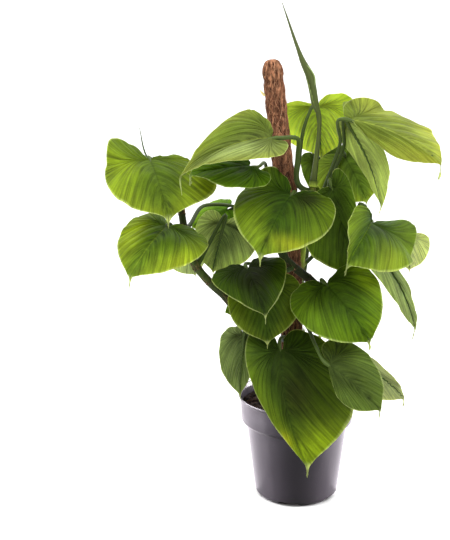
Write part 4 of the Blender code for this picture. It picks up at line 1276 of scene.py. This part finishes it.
def make_pole():
    """The coir sleeve: a streaked core, thousands of loose fibres and thin binding cords."""
    shape = Shape()
    rng = np.random.default_rng(31)
    route = pole_line(POLE_STEP)
    whole = lengths_along(route)
    top = whole[-1] - 0.0125 * (1 - np.linspace(0, 1, 14)) ** 2
    along = np.concatenate([whole[whole < top[0] - 0.001], top])
    fine = place_at(along, whole, route)
    radii = pole_radii(along)
    streaks = fibre_clumps(tube_points(fine, radii, POLE_SIDES))
    standing = (POLE_RELIEF * streaks - 0.0003) * np.minimum(1, radii[:, None] / 0.010)
    # Painted shade: the core is darker in the grooves between the fibre clumps, over its own mix of browns
    tone = blend(colour(FIBRE_BROWNS[4]) * 0.5, colour(FIBRE_BROWNS[1]), 0.45 + 0.45 * streaks)
    tone = tone * painted_low_shade(fine[:, 2])[:, None, None]
    add_tube(shape, fine, radii[:, None] + standing, POLE_SIDES, 0, tone)
    across, other = frames(fine)
    steps = np.linspace(0, 1, 7)
    starts = rng.uniform(0.10, along[-1] - 0.004, POLE_FIBRES)
    lengths = rng.uniform(*FIBRE_LENGTHS, POLE_FIBRES) * rng.choice((-1, 1), POLE_FIBRES)
    lean = rng.normal(0, 0.35, POLE_FIBRES)
    lean = lean + rng.choice((0, 0, 0, 1.2, -1.2), POLE_FIBRES) * rng.uniform(0.3, 1, POLE_FIBRES)
    at = np.clip(starts[:, None] + lengths[:, None] * steps, 0.05, along[-1] - 0.0006)
    turn = rng.uniform(0, 2 * math.pi, POLE_FIBRES)[:, None] + lean[:, None] * steps
    bends = steps * rng.uniform(2, 9, POLE_FIBRES)[:, None] + rng.uniform(0, 6, POLE_FIBRES)[:, None]
    turn = (turn + 0.10 * np.sin(bends))[..., None]
    outwards = np.cos(turn) * place_at(at, along, across) + np.sin(turn) * place_at(at, along, other)
    outwards /= np.linalg.norm(outwards, axis=-1)[..., None]
    loose = rng.uniform(0.0, 1.0, POLE_FIBRES) ** 6 * 0.0022
    lift = np.interp(at, along, radii) + 0.0003 + rng.uniform(0, 0.0004, POLE_FIBRES)[:, None]
    lift = lift + loose[:, None] * np.sin(math.pi * np.minimum(steps * 1.3, 1.15) * 0.8)
    paths = place_at(at, along, fine) + outwards * lift[..., None]
    widths = rng.uniform(*FIBRE_WIDTHS, POLE_FIBRES)[:, None] * (1 - 0.6 * abs(2 * steps - 1))
    picks = rng.choice(len(FIBRE_BROWNS), POLE_FIBRES, p=(0.34, 0.28, 0.20, 0.12, 0.06))
    tones = fibre_tones(picks, rng.uniform(0.75, 1.2, POLE_FIBRES))
    tones = tones * painted_low_shade(paths[:, 0, 2])[:, None]
    # Painted shade: loose fibres that lie over the grooves between the clumps are darker
    tones = tones * (0.55 + 0.70 * ease(fibre_clumps(paths[:, 3]), -0.9, 0.9))[:, None]
    add_strands(shape, paths, outwards, widths, tones)
    turns = np.linspace(0, CORD_TURNS * 2 * math.pi, CORD_POINTS)[:, None]
    aside = np.linspace(-CORD_SPREAD, CORD_SPREAD, CORD_POINTS)[:, None]
    for from_top in np.arange(1.25 * BINDING_PITCH, along[-1] - LOWEST_CORD, BINDING_PITCH):
        here = along[-1] - from_top
        centre, a, b = (place_at(here, along, values) for values in (fine, across, other))
        radius = np.interp(here, along, radii) + 0.0004
        cord = centre + radius * (np.cos(turns) * a + np.sin(turns) * b) + np.cross(a, b) * aside
        cord_radii = np.full(CORD_POINTS, CORD_RADIUS)
        add_tube(shape, cord, cord_radii, CORD_SIDES, 1, colour(FIBRE_BROWNS[4]) * 0.8)
    shape.make("pole_coir_fine", [coir_core, fibre_finish], "coir", "pole_coir", crease=80)


def make_tie():
    """A soft flat band with rolled edges round the pole and the stem behind it."""
    shape = Shape()
    stem, stem_radii = stem_line(TIED_STEM)
    circles = []
    tied = ((pole_line(FINE_STEP), POLE_RADIUS[0]), (resample(stem, FINE_STEP), stem_radii[0]))
    for line, radius in tied:
        centre = line[np.argmin(abs(line[:, 2] - TIE_HEIGHT))]
        circles.append((centre[:2], radius + GAP + TIE_THICKNESS / 2))
    turns = np.linspace(0, 2 * math.pi, TIE_SIDES, endpoint=False)
    outwards = np.stack([np.cos(turns), np.sin(turns), np.zeros(TIE_SIDES)], -1)
    ring = []
    for way in outwards[:, :2]:
        centre, reach = max(circles, key=lambda circle: circle[0].dot(way) + circle[1])
        ring.append((*(centre + reach * way), TIE_HEIGHT))
    ring = np.array(ring)
    section = np.linspace(0, 2 * math.pi, TIE_SECTION_SIDES, endpoint=False)
    out = np.sign(np.cos(section)) * abs(np.cos(section)) ** 0.6 * TIE_THICKNESS * 0.45
    up = np.sign(np.sin(section)) * abs(np.sin(section)) ** 0.6 * TIE_WIDTH / 2
    wobble = 0.0005 * ripple(ring, 120.0, 88, 2)
    points = ring[:, None] + outwards[:, None] * out[None, :, None]
    points = points + np.array((0, 0, 1)) * (up[None, :, None] + wobble[:, None, None])
    index = np.arange(TIE_SIDES * TIE_SECTION_SIDES).reshape(TIE_SIDES, TIE_SECTION_SIDES)
    on = np.roll(index, -1, axis=0)
    faces = np.stack([index, on, np.roll(on, -1, axis=1), np.roll(index, -1, axis=1)], -1)
    shape.add(points, faces.reshape(-1, 4), 0, colour("#141b16"))
    shape.make("pole_tie_fine", [tie_finish], "tie_cord", "pole_tie")


# Soil and pot


def crumb_ball():
    """A ball of 20 faces: its points, and its faces turned outwards."""
    golden = (1 + 5**0.5) / 2
    ball = np.array([(0, s, t * golden) for s in (-1, 1) for t in (-1, 1)])
    ball = np.vstack([ball, ball[:, [1, 2, 0]], ball[:, [2, 0, 1]]])
    ball /= np.linalg.norm(ball[0])
    faces = []
    for face in itertools.combinations(range(12), 3):
        a, b, c = ball[list(face)]
        if max(np.linalg.norm(a - b), np.linalg.norm(b - c), np.linalg.norm(c - a)) < 1.2:
            faces.append(face[::-1] if np.cross(b - a, c - a).dot(a) < 0 else face)
    return ball, np.array(faces)


def make_soil():
    """A crumbly mound that fills the pot, with loose crumbs on it."""
    shape = Shape()
    rng = np.random.default_rng(7)
    inside = pot_wall_profile(POT_WALL + GAP, POT_FLOOR + GAP)
    (edge, band_foot), (top_edge, top) = inside[3:]
    rim = edge + (SOIL_EDGE - band_foot) / (top - band_foot) * (top_edge - edge)
    shoulder = (SOIL_EDGE + 2 * SOIL_MIDDLE) / 3

    def surface(radius):
        return np.interp(radius, (0, edge / 2, edge), (SOIL_MIDDLE, shoulder, SOIL_EDGE))

    tops = [(radius, surface(radius)) for radius in np.linspace(rim, 0, SOIL_RINGS)]
    points, faces = turned([(0, inside[0][1])] + inside[:4] + tops, SOIL_SIDES)
    lumps = 0.0011 * ripple(points, 240.0, 11, 3) + 0.0006 * ripple(points, 900.0, 12, 2)
    points[:, 2] += np.where(points[:, 2] > SOIL_EDGE - 0.0015, lumps - 0.0010, 0)
    share = 0.5 + 0.5 * ripple(points, 400.0, 13, 2)
    shape.add(points, faces, 0, blend(colour(SOIL_BROWNS[1]), colour(SOIL_BROWNS[0]), share))
    ball, ball_faces = crumb_ball()
    for _ in range(CRUMBS):
        radius = rim * math.sqrt(rng.uniform(0, 0.985))
        turn = rng.uniform(0, 2 * math.pi)
        height = surface(radius) - CRUMB_SINK
        place = np.array((radius * math.cos(turn), radius * math.sin(turn), height))
        size = rng.choice(CRUMB_SIZES, p=(0.4, 0.35, 0.2, 0.05))
        stretch = rng.uniform(0.6, 1.4, 3)
        spin = np.linalg.qr(rng.normal(size=(3, 3)))[0]
        if np.linalg.det(spin) < 0:
            spin[:, 0] *= -1
        lump = place + ball * rng.uniform(0.7, 1.2, (12, 1)) * stretch @ spin.T * size
        if np.hypot(lump[:, 0], lump[:, 1]).max() > rim:
            continue
        pick = rng.choice(len(SOIL_BROWNS), p=(0.35, 0.25, 0.2, 0.12, 0.08))
        shape.add(lump, ball_faces, 0, colour(SOIL_BROWNS[pick]) * rng.uniform(0.7, 1.3))
    shape.make("soil_fine", [soil_finish], "soil", "soil", crease=35)


def make_pot():
    """The pot, turned from a profile with rounded corners, and the notches cut in its foot."""
    lip = [
        (LIP_RADIUS, POT_HEIGHT - LIP_HEIGHT + LIP_FLARE),
        (LIP_RADIUS, POT_HEIGHT),
        (LIP_RADIUS - POT_WALL, POT_HEIGHT),
    ]
    inside = pot_wall_profile(POT_WALL, POT_FLOOR)
    corners = [(0, 0)] + pot_wall_profile(0, 0) + lip + inside[::-1] + [(0, POT_FLOOR)]
    profile = np.array(rounded(corners, POT_ROUNDING))
    full = []
    for start, end in zip(profile, profile[1:]):
        count = max(1, int(np.linalg.norm(end - start) / POT_SPACING))
        full += [start + (end - start) * t / count for t in range(count)]
    points, faces = turned([*full, profile[-1]], POT_SIDES)
    shape = Shape()
    shape.add(points, faces, 0, POT_TONE)
    pot = shape.make("pot_fine", [pot_finish], "pot_plastic", "pot", crease=POT_CREASE)
    cutters = []
    for number in range(NOTCHES):
        angle = math.radians(FIRST_NOTCH_ANGLE + number * 360 / NOTCHES)
        outwards = np.array((math.sin(angle), -math.cos(angle), 0))
        sideways = np.array((math.cos(angle), math.sin(angle), 0))
        corners = []
        for height in (-POT_FLOOR, FOOT_HEIGHT):
            for reach in (FOOT_RADIUS - NOTCH_REACH, LIP_RADIUS):
                for side in (-NOTCH_WIDTH / 2, NOTCH_WIDTH / 2):
                    corners.append(tuple(outwards * reach + sideways * side + (0, 0, height)))
        mesh = bpy.data.meshes.new("notch")
        sides = [(0, 1, 3, 2), (4, 6, 7, 5), (0, 4, 5, 1), (2, 3, 7, 6), (0, 2, 6, 4), (1, 5, 7, 3)]
        mesh.from_pydata(corners, [], sides)
        cutters.append(new_object("notch", mesh))
        cut = pot.modifiers.new("Notch", "BOOLEAN")
        cut.operation = "DIFFERENCE"
        cut.solver = "EXACT"
        cut.object = cutters[-1]
    graph = bpy.context.evaluated_depsgraph_get()
    pot_mesh = bpy.data.meshes.new_from_object(pot.evaluated_get(graph))
    pot.modifiers.clear()
    pot.data = pot_mesh
    pot_mesh.set_sharp_from_angle(angle=math.radians(POT_CREASE))
    for cutter in cutters:
        bpy.data.objects.remove(cutter)


# Stage, lights and camera


def area_light(name, place, target, size, power, tint=(1, 1, 1)):
    light = bpy.data.lights.new(name, "AREA")
    light.shape = "RECTANGLE"
    light.size, light.size_y = size
    light.energy = power
    light.color = tint
    lamp = new_object(name, light)
    lamp.location = place
    lamp.rotation_euler = (Vector(target) - Vector(place)).to_track_quat("-Z", "Y").to_euler()
    lamp.visible_camera = False
    return lamp


def make_stage():
    """The floor, the sky's soft light, two lamps, and two pairs of panels that light the pot alone."""
    mesh = bpy.data.meshes.new("floor")
    corners = [(x * FLOOR_REACH, y * FLOOR_REACH, 0) for x, y in ((-1, -1), (1, -1), (1, 1), (-1, 1))]
    mesh.from_pydata(corners, [], [(0, 1, 2, 3)])
    mesh.materials.append(floor_material())
    floor = new_object("floor", mesh)
    world = bpy.data.worlds.new("studio")
    world.use_nodes = True
    tree = world.node_tree
    sky = tree.nodes["Background"]
    place = add_node(tree, "ShaderNodeTexCoord").outputs["Generated"]
    way = add_node(tree, "ShaderNodeSeparateXYZ", {0: place})
    above = spread(tree, way.outputs[2], 0.15, 0.95)
    aside = spread(tree, maths(tree, "ABSOLUTE", way.outputs[0]), 0.35, 0.95)
    behind = spread(tree, way.outputs[1], -0.2, 0.9)
    level = summed(tree, 0.12, (above, 1.3), (aside, 0.8), (behind, 2.0))
    tree.links.new(level, sky.inputs["Strength"])
    sky.inputs["Color"].default_value = (1.0, 1.0, 1.0, 1.0)
    bpy.context.scene.world = world
    area_light("key", (-1.1, -1.0, 2.3), (0, 0, 0.45), (0.7, 0.7), KEY_POWER)
    area_light("fill", (1.3, -0.8, 2.1), (0, 0, 0.45), (0.9, 0.9), FILL_POWER)
    glow = bpy.data.collections.new("pot_glow")
    glow.objects.link(bpy.data.objects["pot_fine"])
    for side in (-1, 1):
        spot = (0.30 * side, 0.03, 0.001)
        low = area_light("low_panel", spot, (0, 0, 1), (0.62, 0.34), LOW_PANEL_POWER, (1.0, 0.92, 1.0))
        low.rotation_euler = (math.pi, 0, math.radians(-40 * side))
        spot = (1.1 * side, 0.03, 0.35)
        tall = area_light("side_panel", spot, (0, 0, 0.08), (1.0, 0.7), SIDE_PANEL_POWER, (1.0, 0.93, 1.0))
        for lamp in (low, tall):
            lamp.light_linking.receiver_collection = glow


def make_camera():
    camera = bpy.data.cameras.new("camera")
    camera.lens = LENS
    camera.sensor_width = SENSOR_WIDTH
    camera.sensor_fit = "AUTO"
    eye = new_object("camera", camera)
    eye.location = CAMERA_PLACE
    eye.rotation_euler = (math.radians(90 - CAMERA_TILT), 0, 0)
    bpy.context.scene.camera = eye


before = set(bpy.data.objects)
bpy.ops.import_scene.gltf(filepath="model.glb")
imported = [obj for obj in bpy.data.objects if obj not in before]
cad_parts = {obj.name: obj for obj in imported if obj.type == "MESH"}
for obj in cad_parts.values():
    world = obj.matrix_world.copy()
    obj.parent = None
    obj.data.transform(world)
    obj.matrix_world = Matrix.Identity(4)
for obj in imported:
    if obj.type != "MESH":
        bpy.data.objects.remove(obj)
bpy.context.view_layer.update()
bpy.context.scene.view_settings.view_transform = "Standard"
leaves = {name: {**USUAL, **given} for name, given in LEAVES.items()}

leaf_upper = leaf_material("leaf_upper", 0.48, 0.38, 0.03, 0.0004)
leaf_under = leaf_material("leaf_under", 0.60, 0.35, 0.45, -0.0005)
stalk_finish = stalk_material()
stem_finish = stem_material()
coir_core = coir_material("coir_core", 0.45)
fibre_finish = coir_material("coir_fibre", 0.25)
soil_finish = soil_material()
pot_finish = pot_material()
tie_weave = (1200.0, 2.0, (1, 1, 0.3))
tie_finish = grained_material("tie", 0.35, 0.6, tie_weave, "#0f1712", "#26332a", 0.0003)
wood_grain = (260.0, 4.0, (1, 1, 0.06))
wood_finish = grained_material("stake_wood", 0.3, 0.7, wood_grain, "#8a6238", "#c69c63", 0.0006)

make_camera()
make_pot()
make_stage()
make_soil()
make_pole()
make_tie()
for number, stem_name in enumerate(STEMS):
    make_stem(stem_name, number)
for number, leaf_name in enumerate(leaves):
    make_leaf(leaf_name, number)
for shoot_name in SHOOTS:
    make_shoot(shoot_name)
make_pale_shoot()
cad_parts["pole_stake"].material_slots[0].material = wood_finish
